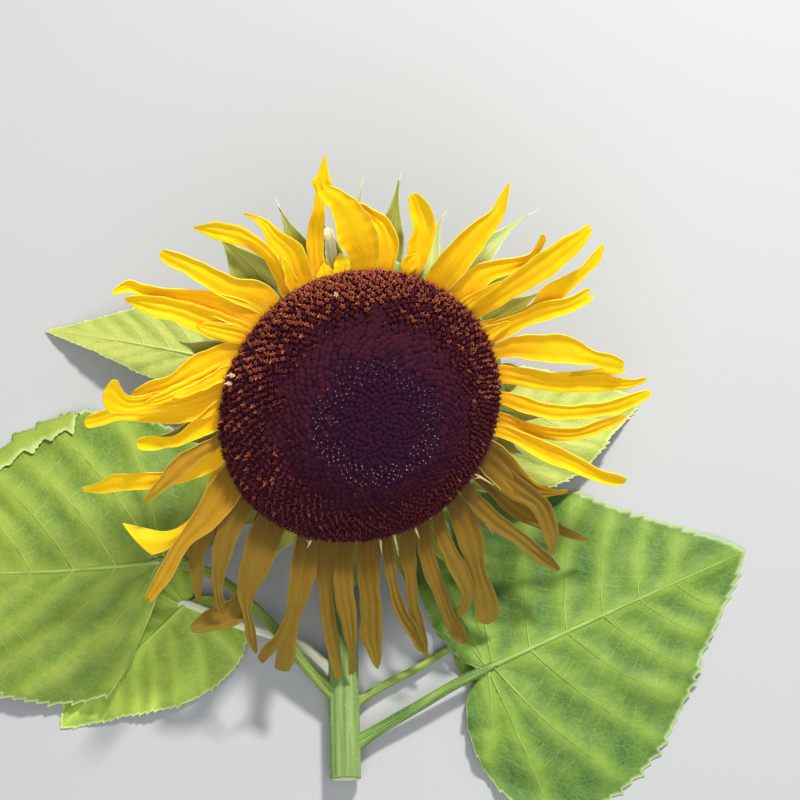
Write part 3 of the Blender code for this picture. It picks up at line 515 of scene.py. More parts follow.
def path_frames(points, first_side=Vector((0, 0, -1)), ends=(None, None)):
    """At each point its tangent and two directions across it, without spin along the way."""
    tangents = []
    for index in range(len(points)):
        before = points[max(index - 1, 0)]
        after = points[min(index + 1, len(points) - 1)]
        tangents.append((after - before).normalized())
    tangents[0] = ends[0] or tangents[0]
    tangents[-1] = ends[1] or tangents[-1]
    across = (first_side - tangents[0] * first_side.dot(tangents[0])).normalized()
    frames = []
    for index, (point, tangent) in enumerate(zip(points, tangents)):
        if index:
            across = (tangents[index - 1].rotation_difference(tangent) @ across).normalized()
        frames.append((point, tangent, across, tangent.cross(across)))
    return frames


def around(across, other, angle):
    """The direction at an angle between two directions across a line."""
    return across * math.cos(angle) + other * math.sin(angle)


def bend_rod(name, sides, frames, radius_at):
    """A rod with a ring at each of the frames; radius_at takes a ring and an angle."""
    rings = len(frames) - 1
    rod = straight_rod(name, sides, rings)
    wrap_map(rod, lambda corner: (corner.x, corner.y, corner.z / rings))

    def place(ring, angle):
        point, _, across, other = frames[ring]
        spot = point + around(across, other, angle) * radius_at(ring, angle)
        spot.z = max(spot.z, FLOOR)
        return spot

    set_rings(rod, place)
    merge_doubles(rod)
    return rod


def array_mesh(name, verts, faces, tones=None):
    """One mesh from arrays of corners and faces, with a material number for each face."""
    mesh = bpy.data.meshes.new(name)
    mesh.from_pydata(verts, [], faces)
    if tones is not None:
        mesh.polygons.foreach_set("material_index", tones)
    piece = bpy.data.objects.new(name, mesh)
    bpy.context.scene.collection.objects.link(piece)
    return piece


def join(name, parts):
    deselect_all()
    for part in parts:
        part.select_set(True)
    bpy.context.view_layer.objects.active = parts[0]
    bpy.ops.object.join()
    joined = bpy.context.object
    joined.name = joined.data.name = name
    return joined


def merge_doubles(piece, threshold=1e-6, outward=True):
    """Merges doubles and, on a closed piece, turns every face outwards."""
    activate(piece)
    bpy.ops.object.mode_set(mode="EDIT")
    bpy.ops.mesh.select_all(action="SELECT")
    bpy.ops.mesh.remove_doubles(threshold=threshold)
    if outward:
        bpy.ops.mesh.normals_make_consistent(inside=False)
    bpy.ops.object.mode_set(mode="OBJECT")


def thicken(sheet, thickness):
    """Gives a sheet its thickness, half to each side."""
    activate(sheet)
    modifier = sheet.modifiers.new("thickness", "SOLIDIFY")
    modifier.thickness, modifier.offset = thickness, 0.0
    bpy.ops.object.modifier_apply(modifier=modifier.name)


def finish_piece(piece, slot, looks, nodes=(), crease=60):
    """Gives a piece its looks and smooth shading, ties it to the plant, and hides any solids it
    stands for.
    """
    for look in looks:
        piece.data.materials.append(MATERIALS[look])
    activate(piece)
    bpy.ops.object.shade_smooth_by_angle(angle=math.radians(crease))
    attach(piece, "root")
    if nodes:
        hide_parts(*nodes)


def catmull(a, b, c, d, t):
    """A point between b and c on the smooth curve through four points."""
    return 0.5 * ((2 * b) + (c - a) * t + (2 * a - 5 * b + 4 * c - d) * t * t
                  + (3 * b - a - 3 * c + d) * t ** 3)


def smooth_curve(points, count):
    """Points spread evenly along a smooth curve through the given points."""
    ends = [points[0] * 2 - points[1]] + list(points) + [points[-1] * 2 - points[-2]]
    curve = []
    for step in range(count):
        place = step / (count - 1) * (len(points) - 1)
        first = min(int(place), len(points) - 2)
        curve.append(catmull(*ends[first:first + 4], place - first))
    return curve


def straight_between(table, where):
    """A value read from a table of (place, value) pairs along straight lines."""
    for (low, near), (high, far) in zip(table, table[1:]):
        if where <= high:
            return near + (far - near) * ((where - low) / (high - low))
    return table[-1][1]


def smoothstep(low, high, value):
    mix = min(max((value - low) / (high - low), 0.0), 1.0)
    return mix * mix * (3 - 2 * mix)


# ---------------------------------------------------------------- materials

def add_node(tree, kind, inputs=None, **settings):
    made = tree.nodes.new(kind)
    for key, value in settings.items():
        setattr(made, key, value)
    for key, value in (inputs or {}).items():
        if isinstance(value, bpy.types.NodeSocket):
            tree.links.new(value, made.inputs[key])
        else:
            made.inputs[key].default_value = value
    return made


def new_material(name, roughness=0.5, **sockets):
    """A material and its node tree; sockets are constant values by the socket's name."""
    material = bpy.data.materials.new(name)
    material.use_nodes = True
    shader = material.node_tree.nodes["Principled BSDF"]
    for key, value in dict(sockets, Roughness=roughness).items():
        shader.inputs[key.replace("_", " ")].default_value = value
    return material, material.node_tree


def ramp(tree, factor, stops):
    made = add_node(tree, "ShaderNodeValToRGB", {0: factor})
    while len(made.color_ramp.elements) < len(stops):
        made.color_ramp.elements.new(0.5)
    for element, (place, colour) in zip(made.color_ramp.elements, stops):
        element.position = place
        element.color = (*colour, 1.0)
    return made.outputs[0]


def mask(tree, factor, low, high, most=1.0, least=0.0):
    """Grey that goes from least to most between two values of the factor."""
    return ramp(tree, factor, ((low, (least,) * 3), (high, (most,) * 3)))


def paler(colour, gain, lift):
    return tuple(min(1.0, value * gain + lift) for value in colour)


def edge_mask(tree, across, low, high):
    """A mask of the strip along both sides of a blade."""
    edge = maths(tree, "ABSOLUTE", maths(tree, "SUBTRACT", across, 0.5))
    return mask(tree, edge, low, high, BLADE_RIM)


def maths(tree, operation, first, second=0.0):
    return add_node(tree, "ShaderNodeMath", {0: first, 1: second}, operation=operation).outputs[0]


def mix_colours(tree, factor, first, second, blend="MIX"):
    made = add_node(tree, "ShaderNodeMix", data_type="RGBA", blend_type=blend)
    for index, value in ((0, factor), (6, first), (7, second)):
        if isinstance(value, bpy.types.NodeSocket):
            tree.links.new(value, made.inputs[index])
        elif index:
            made.inputs[index].default_value = (*value, 1.0)
        else:
            made.inputs[index].default_value = value
    return made.outputs[2]


def noise(tree, vector, scale, detail=3.0, roughness=0.5):
    made = add_node(tree, "ShaderNodeTexNoise", {"Vector": vector, "Scale": scale,
                                                 "Detail": detail, "Roughness": roughness})
    return made.outputs[0]


def object_place(tree):
    return add_node(tree, "ShaderNodeTexCoord").outputs["Object"]


def uv_place(tree):
    """The UV map's vector, its u and its v."""
    vector = add_node(tree, "ShaderNodeTexCoord").outputs["UV"]
    split = add_node(tree, "ShaderNodeSeparateXYZ", {0: vector})
    return vector, split.outputs[0], split.outputs[1]


def stretched(tree, vector, scale):
    return add_node(tree, "ShaderNodeMapping", {"Vector": vector, "Scale": scale}).outputs[0]


def finish_material(material, colour, height, distance, strength=0.5):
    """Ties a colour and a relief to a material's shader."""
    tree = material.node_tree
    shader = tree.nodes["Principled BSDF"]
    tree.links.new(colour, shader.inputs["Base Color"])
    made = add_node(tree, "ShaderNodeBump", {"Height": height, "Distance": distance,
                                             "Strength": strength})
    tree.links.new(made.outputs[0], shader.inputs["Normal"])
    return material


def soft_material(name, roughness, depth, colours, gloss):
    """A material that light soaks into, by these shares of red, green and blue."""
    return new_material(name, roughness, Subsurface_Weight=depth, Subsurface_Radius=colours,
                        Subsurface_Scale=SOAK_DEPTH, Specular_IOR_Level=gloss)


def petal_material(name, tones):
    """Yellow petal: a root darkened as painted shade next to the disc, fine lengthwise nerves, soft
    blotches and a pale rim painted as backlit glow.
    """
    root, middle, tip = tones
    material, tree = soft_material(name, 0.60, 0.30, (1.0, 0.55, 0.10), 0.12)
    vector, across, along = uv_place(tree)
    # Each tone's root colour is darker: painted shade where the petal meets the disc.
    body = ramp(tree, along, ((0.02, root), (0.30, middle), (1.0, tip)))
    nerves = noise(tree, stretched(tree, vector, (26.0, 1.3, 1.0)), 1.0, 2.0)
    nerve_mask = ramp(tree, nerves, ((0.42, WHITE), (0.66, (0.92, 0.80, 0.55))))
    body = mix_colours(tree, 0.6, body, nerve_mask, "MULTIPLY")
    blotches = noise(tree, object_place(tree), 70.0, 3.0)
    blotch_mask = ramp(tree, blotches, ((0.45, WHITE), (0.70, (0.97, 0.84, 0.70))))
    body = mix_colours(tree, 0.7, body, blotch_mask, "MULTIPLY")
    # Pale rim along both edges: painted glow of backlight through the petal's edge.
    backlit_rim = edge_mask(tree, across, 0.460, 0.490)
    pale = tuple(min(1.0, value * 1.1 + extra * tip[0])
                 for value, extra in zip(tip, (0.02, 0.08, 0.10)))
    return finish_material(material, mix_colours(tree, backlit_rim, body, pale), nerves, 0.0006)


def leaf_material(name, tones):
    """Leaf blade: light at the veins, deeper green in the hollows between, with a fine net."""
    light, dark = tones
    material, tree = soft_material(name, 0.55, 0.15, (0.5, 1.0, 0.2), 0.25)
    place = object_place(tree)
    hollow = add_node(tree, "ShaderNodeAttribute", attribute_name="hollow").outputs["Fac"]
    patches = noise(tree, place, 45.0, 4.0, 0.6)
    depth = maths(tree, "ADD", maths(tree, "MULTIPLY", hollow, 0.55),
                  maths(tree, "MULTIPLY", maths(tree, "SUBTRACT", patches, 0.35), 1.2))
    body = mix_colours(tree, mask(tree, depth, 0.15, 0.95), light, dark)
    net = add_node(tree, "ShaderNodeTexVoronoi", {"Vector": place, "Scale": 260.0},
                   feature="DISTANCE_TO_EDGE").outputs["Distance"]
    net_line = mask(tree, net, 0.01, 0.12, 0.0, 1.0)
    body = mix_colours(tree, maths(tree, "MULTIPLY", net_line, 0.22), body,
                       paler(light, 1.1, 0.02))
    # Paler strip at the margin: painted glow of backlight along the leaf's edge.
    _, _, reach = uv_place(tree)
    backlit_rim = mask(tree, reach, 0.978, 0.995, 0.8)
    body = mix_colours(tree, backlit_rim, body, paler(light, 1.1, 0.20))
    grain = noise(tree, place, 700.0, 3.0)
    relief = maths(tree, "ADD", maths(tree, "MULTIPLY", net_line, 0.5),
                   maths(tree, "MULTIPLY", grain, 0.5))
    return finish_material(material, body, relief, 0.0005)


def bract_material(name, tones):
    """Bract: light and dark green nerves along it, and a pale rim."""
    light, dark = tones
    material, tree = soft_material(name, 0.6, 0.10, (0.5, 1.0, 0.3), 0.3)
    vector, across, _ = uv_place(tree)
    nerves = noise(tree, stretched(tree, vector, (20.0, 1.5, 1.0)), 1.0, 2.0)
    body = mix_colours(tree, mask(tree, nerves, 0.40, 0.62), light, dark)
    body = mix_colours(tree, edge_mask(tree, across, 0.45, 0.495), body, paler(light, 1.2, 0.15))
    return finish_material(material, body, nerves, 0.0006, 0.6)


def mottled_material(name, light, dark, scale, roughness=0.6, **sockets):
    """A blotched colour with matching relief, for florets, pith, hairs and vein ridges."""
    material, tree = new_material(name, roughness, **sockets)
    patches = noise(tree, object_place(tree), scale, 3.0)
    body = mix_colours(tree, mask(tree, patches, 0.35, 0.65), light, dark)
    return finish_material(material, body, patches, 0.0003)


def stem_material(name, light, dark):
    """Ribbed green skin: streaks along the stem, speckled and a little glossy."""
    material, tree = new_material(name, 0.5, Specular_IOR_Level=0.4)
    vector, _, _ = uv_place(tree)
    streaks = noise(tree, stretched(tree, vector, (24.0, 5.0, 1.0)), 1.0, 3.0)
    body = mix_colours(tree, mask(tree, streaks, 0.35, 0.65), light, dark)
    specks = noise(tree, object_place(tree), 1400.0, 1.0)
    body = mix_colours(tree, mask(tree, specks, 0.62, 0.72, 0.5), body, paler(light, 1.0, 0.25))
    return finish_material(material, body, streaks, 0.0008, 0.7)


# ---------------------------------------------------------------- stem and neck

def stem_axis():
    return Vector((STEM_DRIFT, 1.0, 0.0)).normalized()


def corner_point():
    return stem_axis() * STEM_RUN


def bend_points(count):
    """The arc that turns the stem's axis into the head's axis."""
    start, end = stem_axis(), FACE
    angle = start.angle(end)
    tangent = BEND_RADIUS * math.tan(angle / 2)
    inward = (end - start * start.dot(end)).normalized()
    first = corner_point() - start * tangent
    centre = first + inward * BEND_RADIUS
    arc = []
    for step in range(count):
        turned = angle * step / (count - 1)
        arc.append(centre - inward * BEND_RADIUS * math.cos(turned)
                   + start * BEND_RADIUS * math.sin(turned))
    return arc


def stem_line():
    """Points and radii from just inside the cut end, along the stem and neck, to the head."""
    bend = bend_points(BEND_STEPS)
    foot = stem_axis() * CUT_RECESS
    points = [foot.lerp(bend[0], step / STEM_STEPS) for step in range(STEM_STEPS)]
    radii = [STEM_RADIUS + (STEM_TOP_RADIUS - STEM_RADIUS) * step / STEM_STEPS
             for step in range(STEM_STEPS)]
    top = corner_point() + FACE * NECK_RUN
    neck = bend + [bend[-1].lerp(top, (step + 1) / TOP_STEPS) for step in range(TOP_STEPS)]
    for index in range(len(neck)):
        share = index / (len(neck) - 1)
        radii.append(STEM_TOP_RADIUS + (NECK_TOP_RADIUS - STEM_TOP_RADIUS) * share ** 3)
    return points + neck, radii


def make_stem():
    points, radii = stem_line()
    rings = len(points) - 1
    rng = random.Random(4)
    phases = [rng.uniform(0, math.tau) for _ in range(3)]

    def radius_at(ring, angle):
        share = ring / rings
        ribs = 0.030 * math.cos(11 * angle + phases[0] + 2 * share)
        ribs += 0.015 * math.cos(17 * angle + phases[1] - 5 * share)
        bulge = 0.012 * math.sin(23 * share + phases[2]) * math.cos(angle)
        return radii[ring] * (0.985 + ribs + bulge)

    stem = bend_rod("stem_and_neck", 72, path_frames(points, ends=(stem_axis(), FACE)), radius_at)
    finish_piece(stem, "stem_green", ("stem",), ("stem", "neck_lower", "neck_upper"))
    make_cut_end()


def make_cut_end():
    """The cut face: a ring of fibre bundles round pale pith, just inside the rind."""
    axis = stem_axis()
    _, _, across, other = path_frames([axis * (0.05 * MM), axis * CUT_RECESS * 1.2],
                                      ends=(axis, axis))[0]
    rng = random.Random(9)
    dents = [rng.uniform(-0.25, 0.05) * MM for _ in range(PITH_SIDES)]
    pith = straight_rod("cut_pith", PITH_SIDES, len(PITH_PROFILE) - 1)

    def place(ring, angle):
        level, reach = PITH_PROFILE[ring]
        dent = 0.0 if ring else dents[int(angle / math.tau * PITH_SIDES) % PITH_SIDES]
        return axis * (level * MM - dent) + around(across, other, angle) * (reach * MM)

    set_rings(pith, place)
    merge_doubles(pith)
    finish_piece(pith, "stem_green", ("pith",), crease=35)
    verts, faces = [], []
    for index in range(CUT_BUNDLES):
        angle = math.tau * index / CUT_BUNDLES + rng.uniform(-0.05, 0.05)
        middle = around(across, other, angle) * rng.uniform(8.0, 8.7) * MM
        add_tube(verts, faces, [middle + axis * (0.02 * MM), middle + axis * CUT_RECESS * 1.3],
                 [rng.uniform(0.45, 0.75) * MM] * 2, 6)
    bundles = array_mesh("cut_fibre_bundles", verts, faces)
    finish_piece(bundles, "stem_green", ("fibre",), crease=40)


def band(start, sides):
    """The faces between a ring of corners, numbered from start, and the next ring."""
    nexts = [(side + 1) % sides for side in range(sides)]
    return [(start + side, start + after, start + after + sides, start + side + sides)
            for side, after in enumerate(nexts)]


def add_tube(verts, faces, points, radii, sides, first_side=Vector((0, 0, 1))):
    """Adds a closed tube with flat ends to the arrays."""
    start = len(verts)
    for (point, _, across, other), radius in zip(path_frames(points, first_side), radii):
        verts += [point + around(across, other, math.tau * side / sides) * radius
                  for side in range(sides)]
    last = start + (len(points) - 1) * sides
    for first in range(start, last, sides):
        faces += band(first, sides)
    faces.append(tuple(reversed(range(start, start + sides))))
    faces.append(tuple(range(last, last + sides)))


# ---------------------------------------------------------------- flower head

def head_matrix():
    """Head frame: x right and y up in the face plane, z out of the face."""
    right = Vector((0, 1, 0)).cross(FACE).normalized()
    up = FACE.cross(right)
    matrix = Matrix((right, up, FACE)).transposed().to_4x4()
    matrix.translation = corner_point() + FACE * (NECK_RUN + HEAD_DEPTH)
    return matrix


HEAD = head_matrix()
HEAD_TURN = HEAD.to_3x3()


def disc_level(radius):
    """Height of the face of florets over the rim, at a distance from the middle."""
    share = min(1.0, radius / DISC_EDGE)
    florets = (FACE_LEVEL + FACE_RISE * (1 - share ** 3)) * MM
    inner = min(1.0, radius / BUD_DOME_RADIUS)
    buds = BUD_DOME_LEVEL + BUD_DOME_RISE * (1 - inner ** 2) ** 0.8
    return buds + (florets - buds) * smoothstep(*BUD_TABLE_EDGE, radius)


def disc_place(reach):
    """Radius, level and outward lean of the floret face at a reach measured over its edge."""
    middle_lean, side_lean, rim_lean = FLORET_LEANS
    lean = math.radians(middle_lean + side_lean * min(1.0, reach / DISC_SIDE) ** 8)
    if reach <= DISC_EDGE:
        return reach, disc_level(reach), lean
    if reach <= DISC_SIDE:
        over = (reach - DISC_EDGE) / (DISC_SIDE - DISC_EDGE)
        radius = DISC_EDGE + (DISC_RADIUS - DISC_EDGE) * math.sin(over * math.pi / 2)
        return radius, (FACE_LEVEL - SIDE_DROP * over ** 1.5) * MM, lean
    level = (FACE_LEVEL - SIDE_DROP) * MM - (reach - DISC_SIDE)
    return DISC_RADIUS, level, math.radians(rim_lean)


def shifted(x, y, radius):
    """Moves the florets' pattern off centre, none at the rim, and puts the rim out of round."""
    share = max(0.0, 1 - (radius / DISC_RADIUS) ** 2)
    keep = 1.0
    for clock, growth, narrow in RIM_BULGES:
        angle = math.radians(clock)
        near = max(0.0, (x * math.sin(angle) + y * math.cos(angle)) / max(radius, MM))
        keep += growth * near ** narrow * (radius / DISC_RADIUS) ** 4
    return x * keep + DISC_SHIFT.x * share, y * keep + DISC_SHIFT.y * share


def make_disc_bed():
    """The dark dome that the florets stand on."""
    bed = straight_rod("disc_bed", 96, BED_RINGS)

    def place(ring, angle):
        if ring == 0:
            radius, level = BED_FOOT, RIM_LEVEL + SEAT_GAP
        else:
            reach = BED_REACH * (1 - (ring - 1) / (BED_RINGS - 0.5))
            radius, level, lean = disc_place(reach)
            radius, level = (radius - BED_DEPTH * math.sin(lean),
                             level - BED_DEPTH * math.cos(lean))
        x, y = radius * math.sin(angle), radius * math.cos(angle)
        if ring:
            x, y = shifted(x, y, radius)
        return HEAD @ Vector((x, y, level))

    set_rings(bed, place)
    merge_doubles(bed)
    finish_piece(bed, "floret_maroon", ("bed",), ("disc_florets", "disc_buds"))


def star(count, long, short, level, short_level):
    """A ring of corners that stand out and back by turns (mm)."""
    ring = []
    for index in range(count):
        angle = math.tau * index / count
        reach, height = (short, short_level) if index % 2 else (long, level)
        ring.append((reach * math.cos(angle), reach * math.sin(angle), height))
    return ring


def open_floret():
    """Corners, faces and a tone for each face: a five-lobed cup and a hooked style (mm)."""
    verts = star(5, 0.75, 0.75, -1.6, -1.6) + star(10, 1.75, 0.85, 1.9, 2.5) + [(0, 0, 2.3)]
    faces, tones = [(4, 3, 2, 1, 0)], [0]
    for index in range(5):
        lobe, valley = 5 + 2 * index, 6 + 2 * index
        after, next_lobe = (index + 1) % 5, 5 + (2 * index + 2) % 10
        faces += [(index, valley, lobe), (index, after, valley), (after, next_lobe, valley),
                  (lobe, valley, 15), (valley, next_lobe, 15)]
        tones += [0, 0, 0, 1, 1]
    start = len(verts)
    for (x, y, z), radius in STYLE_RINGS:
        verts += [(x + cross[0], y + cross[1], z + 0.4 * cross[0])
                  for cross in star(4, radius, radius, 0, 0)]
    verts.append((1.7, 0.1, 4.55))
    faces.append((start + 3, start + 2, start + 1, start))
    for ring in range(3):
        faces += band(start + ring * 4, 4)
    faces += [(start + 12 + side, start + 12 + (side + 1) % 4, len(verts) - 1)
              for side in range(4)]
    return np.array(verts) * MM, faces, tones + [2] * 9 + [3] * 8


def closed_floret():
    """A bud with five ribs and a pinched top (mm)."""
    verts = []
    for radius, level in ((1.2, -1.4), (2.05, 0.0), (1.85, 0.9), (1.0, 1.5)):
        verts += star(10, radius, radius * 0.84, level, level)
    verts.append((0, 0, 1.5))
    faces = [tuple(reversed(range(10)))] + band(0, 10) + band(10, 10) + band(20, 10)
    faces += [(30 + side, 30 + (side + 1) % 10, 40) for side in range(10)]
    return np.array(verts) * MM, faces, [0] * 21 + [1] * 20


def chaff_tip():
    """A small pale scale tip that stands between the buds (mm)."""
    verts = [(-0.35, -0.28, 0.6), (0.35, -0.28, 0.6), (0.0, 0.35, 0.6), (0.22, 0.08, 2.6)]
    faces = [(2, 1, 0), (0, 1, 3), (1, 2, 3), (2, 0, 3)]
    return np.array(verts) * MM, faces, [0] * 4


def lean_axes(angle, lean):
    """The axis of what leans outward at an angle on the face, and its outward direction."""
    axis = (math.sin(angle) * math.sin(lean), math.cos(angle) * math.sin(lean), math.cos(lean))
    outward = (math.sin(angle) * math.cos(lean), math.cos(angle) * math.cos(lean),
               -math.sin(lean))
    return Vector(outward), Vector(axis)


def floret_seats():
    """Where each floret stands: reach, angle, room, and its place, outward and axis directions."""
    golden = math.pi * (3 - math.sqrt(5))
    rng = random.Random(5)
    seats = []
    for index in range(FLORET_COUNT):
        reach = FLORET_REACH * ((index + 0.6) / FLORET_COUNT) ** FLORET_SPREAD
        reach += rng.gauss(0, FLORET_JITTER) * MM
        angle = index * golden + rng.gauss(0, FLORET_JITTER) * MM / max(reach, 3 * MM)
        radius, level, lean = disc_place(reach)
        x, y = radius * math.sin(angle), radius * math.cos(angle)
        room = 1 - 2 * (DISC_SHIFT.x * x + DISC_SHIFT.y * y) / DISC_RADIUS ** 2
        x, y = shifted(x, y, radius)
        seats.append((reach, angle, room, Vector((x, y, level)), *lean_axes(angle, lean)))
    return seats


def stand_copies(name, template, copies):
    """One mesh of many copies; each is (place, outward, axis, spin, size, height, tone)."""
    corners, faces, tones = template
    all_verts, all_faces, all_tones = [], [], []
    for index, (place, outward, axis, spin, size, height, tone) in enumerate(copies):
        outward = Matrix.Rotation(spin, 3, axis) @ outward
        turn = np.array(Matrix((outward, axis.cross(outward), axis)).transposed())
        grown = corners * (size, size, size * height)
        all_verts.append(grown @ turn.T + np.array(place))
        offset = index * len(corners)
        all_faces += [tuple(corner + offset for corner in face) for face in faces]
        all_tones += [face_tone + tone for face_tone in tones]
    verts = np.concatenate(all_verts) @ np.array(HEAD_TURN).T + np.array(HEAD.translation)
    return array_mesh(name, verts.tolist(), all_faces, all_tones)


def make_florets():
    rng = random.Random(21)
    opened, closed, buds, tips = [], [], [], []
    for reach, angle, room, place, outward, axis in floret_seats():
        wobble = Vector([rng.uniform(-FLORET_WOBBLE, FLORET_WOBBLE) for _ in range(2)] + [0])
        axis = (axis + wobble).normalized()
        outward = (outward - axis * outward.dot(axis)).normalized()
        if reach > OPEN_FROM + rng.gauss(0, 5) * MM:
            spin = rng.gauss(0, 1.1)
            # Painted sunlight: open florets towards the top of the rim are likelier to take the
            # warm copies of the lobe and style colours.
            lit = 0.5 + 0.5 * math.cos(angle + 0.25)
            painted_sun = lit ** 1.4 * smoothstep(*SUNLIT_FROM, reach)
            tone = 4 if rng.random() < painted_sun else 0
            height = rng.uniform(0.65, 1.15) * (1 - 0.5 * smoothstep(*SHORTER_FROM, reach))
            opened.append((place - axis * OPEN_DEPTH, outward, axis, spin,
                           rng.uniform(0.90, 1.15) * room, height, tone))
        elif reach > CLOSED_FROM + rng.gauss(0, 6.5) * MM:
            closed.append((place - axis * CLOSED_DEPTH, outward, axis, rng.uniform(0, 6.28),
                           rng.uniform(1.2, 1.35) * room, rng.uniform(0.30, 0.60), 0))
        else:
            size = 0.95 + 0.25 * min(1.0, reach / CHAFF_OUTER[1])
            buds.append((place - axis * CLOSED_DEPTH, outward, axis, rng.uniform(0, 6.28), size,
                         rng.uniform(0.35, 0.60), 0))
        ring = smoothstep(*CHAFF_INNER, reach) * (1 - smoothstep(*CHAFF_OUTER, reach))
        if rng.random() < 0.75 * ring:
            side = outward.cross(axis) * rng.uniform(-1.4, 1.4) * MM
            tips.append((place + side, outward, axis, rng.uniform(-1.2, 1.2),
                         rng.uniform(0.65, 1.2), rng.uniform(0.7, 1.1), 0))
    for name, template, copies, slot, looks, crease in (
            ("florets_open", open_floret(), opened, "floret_maroon", OPEN_LOOKS, 40),
            ("florets_closed", closed_floret(), closed, "floret_maroon",
             ("floret_dark", "floret_dark_top"), 50),
            ("buds_inner", closed_floret(), buds, "bud_purple", ("bud", "bud_top"), 50),
            ("chaff_tips", chaff_tip(), tips, "bud_purple", ("chaff",), 30)):
        finish_piece(stand_copies(name, template, copies), slot, looks, crease=crease)


def rim_spot(clock, reach):
    """Place, outward and axis directions on the floret face, in the head frame."""
    angle = math.radians(clock)
    radius, level, lean = disc_place(reach)
    x, y = shifted(radius * math.sin(angle), radius * math.cos(angle), radius)
    return (Vector((x, y, level)), *lean_axes(angle, lean))


def make_pale_bits():
    """Withered cream florets on the disc, and cream scales that stick out under its rim."""
    copies = [(*rim_spot(clock, reach * MM), 0.4, 1.15, 0.8, 0) for clock, reach in PALE_FLORETS]
    florets = stand_copies("florets_pale", open_floret(), copies)
    finish_piece(florets, "floret_maroon", ("floret_pale",) * 4, crease=40)
    verts, faces = [], []
    for clock, length, fork in RIM_SCALES:
        place, _, axis = rim_spot(clock, SCALE_REACH)
        angle = math.radians(clock)
        ahead = Vector((math.sin(angle), math.cos(angle), -0.15))
        points = [HEAD @ (place + ahead * length * MM * share + axis * 1.5 * MM)
                  for share in (-0.2, 0.2, 0.6, 1.0)]
        add_tube(verts, faces, points, [radius * MM for radius in SCALE_RADII], 5)
        if fork:
            side = Vector((math.cos(angle), -math.sin(angle), 0.3)) * 3 * MM
            add_tube(verts, faces, [points[1], points[1] - (points[2] - points[1]) * 0.6
                                    + HEAD_TURN @ side],
                     [radius * MM for radius in SCALE_RADII[2:]], 5)
    scales = array_mesh("rim_scales", verts, faces)
    finish_piece(scales, "floret_maroon", ("floret_pale",))


def make_receptacle():
    """The back of the head: a ribbed green bowl from the neck to the rim."""
    back = straight_rod("receptacle_back", 120, len(RECEPTACLE_PROFILE) - 1)

    def place(ring, angle):
        radius, level = RECEPTACLE_PROFILE[ring]
        rib = 0.45 * math.cos(24 * angle + 0.4 * math.sin(3 * angle)) if 1 < ring < 9 else 0.0
        return HEAD @ (Vector((radius * math.sin(angle), radius * math.cos(angle),
                               level + rib)) * MM)

    def unrolled(corner):
        x, y, z = HEAD.inverted() @ corner
        return y, x, z * 30

    set_rings(back, place)
    wrap_map(back, unrolled)
    merge_doubles(back)
    finish_piece(back, "head_green", ("receptacle",), ("receptacle",))


# ---------------------------------------------------------------- petals

def strip_line(radius, level, clock, lean, turn, length, lift, droop):
    """Points, directions and sides at even steps along a petal or bract, in the head frame."""
    angle = math.radians(clock)
    place, line = Vector((radius * math.sin(angle), radius * math.cos(angle), level)), []
    for step in range(STRIP_STEPS + 1):
        share = step / STRIP_STEPS
        ease = min(1.0, share / 0.12)
        heading = math.radians(clock + lean * ease + turn * share)
        rise = math.radians(lift * ease + droop * share)
        along = Vector((math.sin(heading) * math.cos(rise),
                        math.cos(heading) * math.cos(rise), math.sin(rise)))
        side = Vector((math.cos(heading), -math.sin(heading), 0))
        line.append((place.copy(), along, side))
        place += along * (length / STRIP_STEPS)
    return line


def line_at(line, share):
    """The line's point, direction and side at any share of its length, or straight on past it."""
    reach = min(max(share, 0.0), 1.0) * STRIP_STEPS
    first = min(int(reach), STRIP_STEPS - 1)
    point, along, side = (a.lerp(b, reach - first) for a, b in zip(line[first], line[first + 1]))
    step = (line[-1][0] - line[-2][0]) * STRIP_STEPS
    return point + step * max(0.0, share - 1), along, side


def strip_width(share, root_width, width, tip_share):
    if share < 0.40:
        return root_width + (width - root_width) * math.sin(share / 0.40 * math.pi / 2)
    if share < 0.62:
        return width
    return width * (1 - (1 - tip_share) * ((share - 0.62) / 0.38) ** 1.6)


def ray_line(ray, lift):
    clock, lean, turn, length, _, _, _, row = ray
    return strip_line(RAY_ROOT_RADIUS, RIM_LEVEL + SEAT_GAP + RAY_THICKNESS / 2, clock, lean,
                      turn, length * MM, lift, ROW_DROOP[row])


def solid_middle(ray, lift):
    """Mean corner of a petal's solid in the head frame, for a lift of its row."""
    _, lean, _, _, width, tip_share, twist, _ = ray
    line, total = ray_line(ray, lift), Vector()
    for share in RAY_SHARES:
        place, along, side = line_at(line, share)
        turned = Matrix.Rotation(math.radians(twist) * share, 3, along) @ side
        across = strip_width(share, RAY_ROOT_WIDTH * math.cos(math.radians(lean)),
                             width * MM, tip_share)
        rise = RAY_GUTTER * across * min(1.0, share / 0.3)
        total += place + turned.cross(along).normalized() * rise * 2 / 3
    return total / len(RAY_SHARES)


def measured_lift(number):
    """The lift that a petal's solid was given, read back from where that solid lies."""
    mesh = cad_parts["ray_%02d" % number].data
    corners = np.array([vertex.co for vertex in mesh.vertices])
    corners = np.unique(np.round(corners, 6), axis=0)
    middle = HEAD.inverted() @ Vector(corners.mean(0))
    trials = [step * 0.5 for step in range(81)]
    return min(trials, key=lambda lift: (solid_middle(RAYS[number - 1], lift) - middle).length)


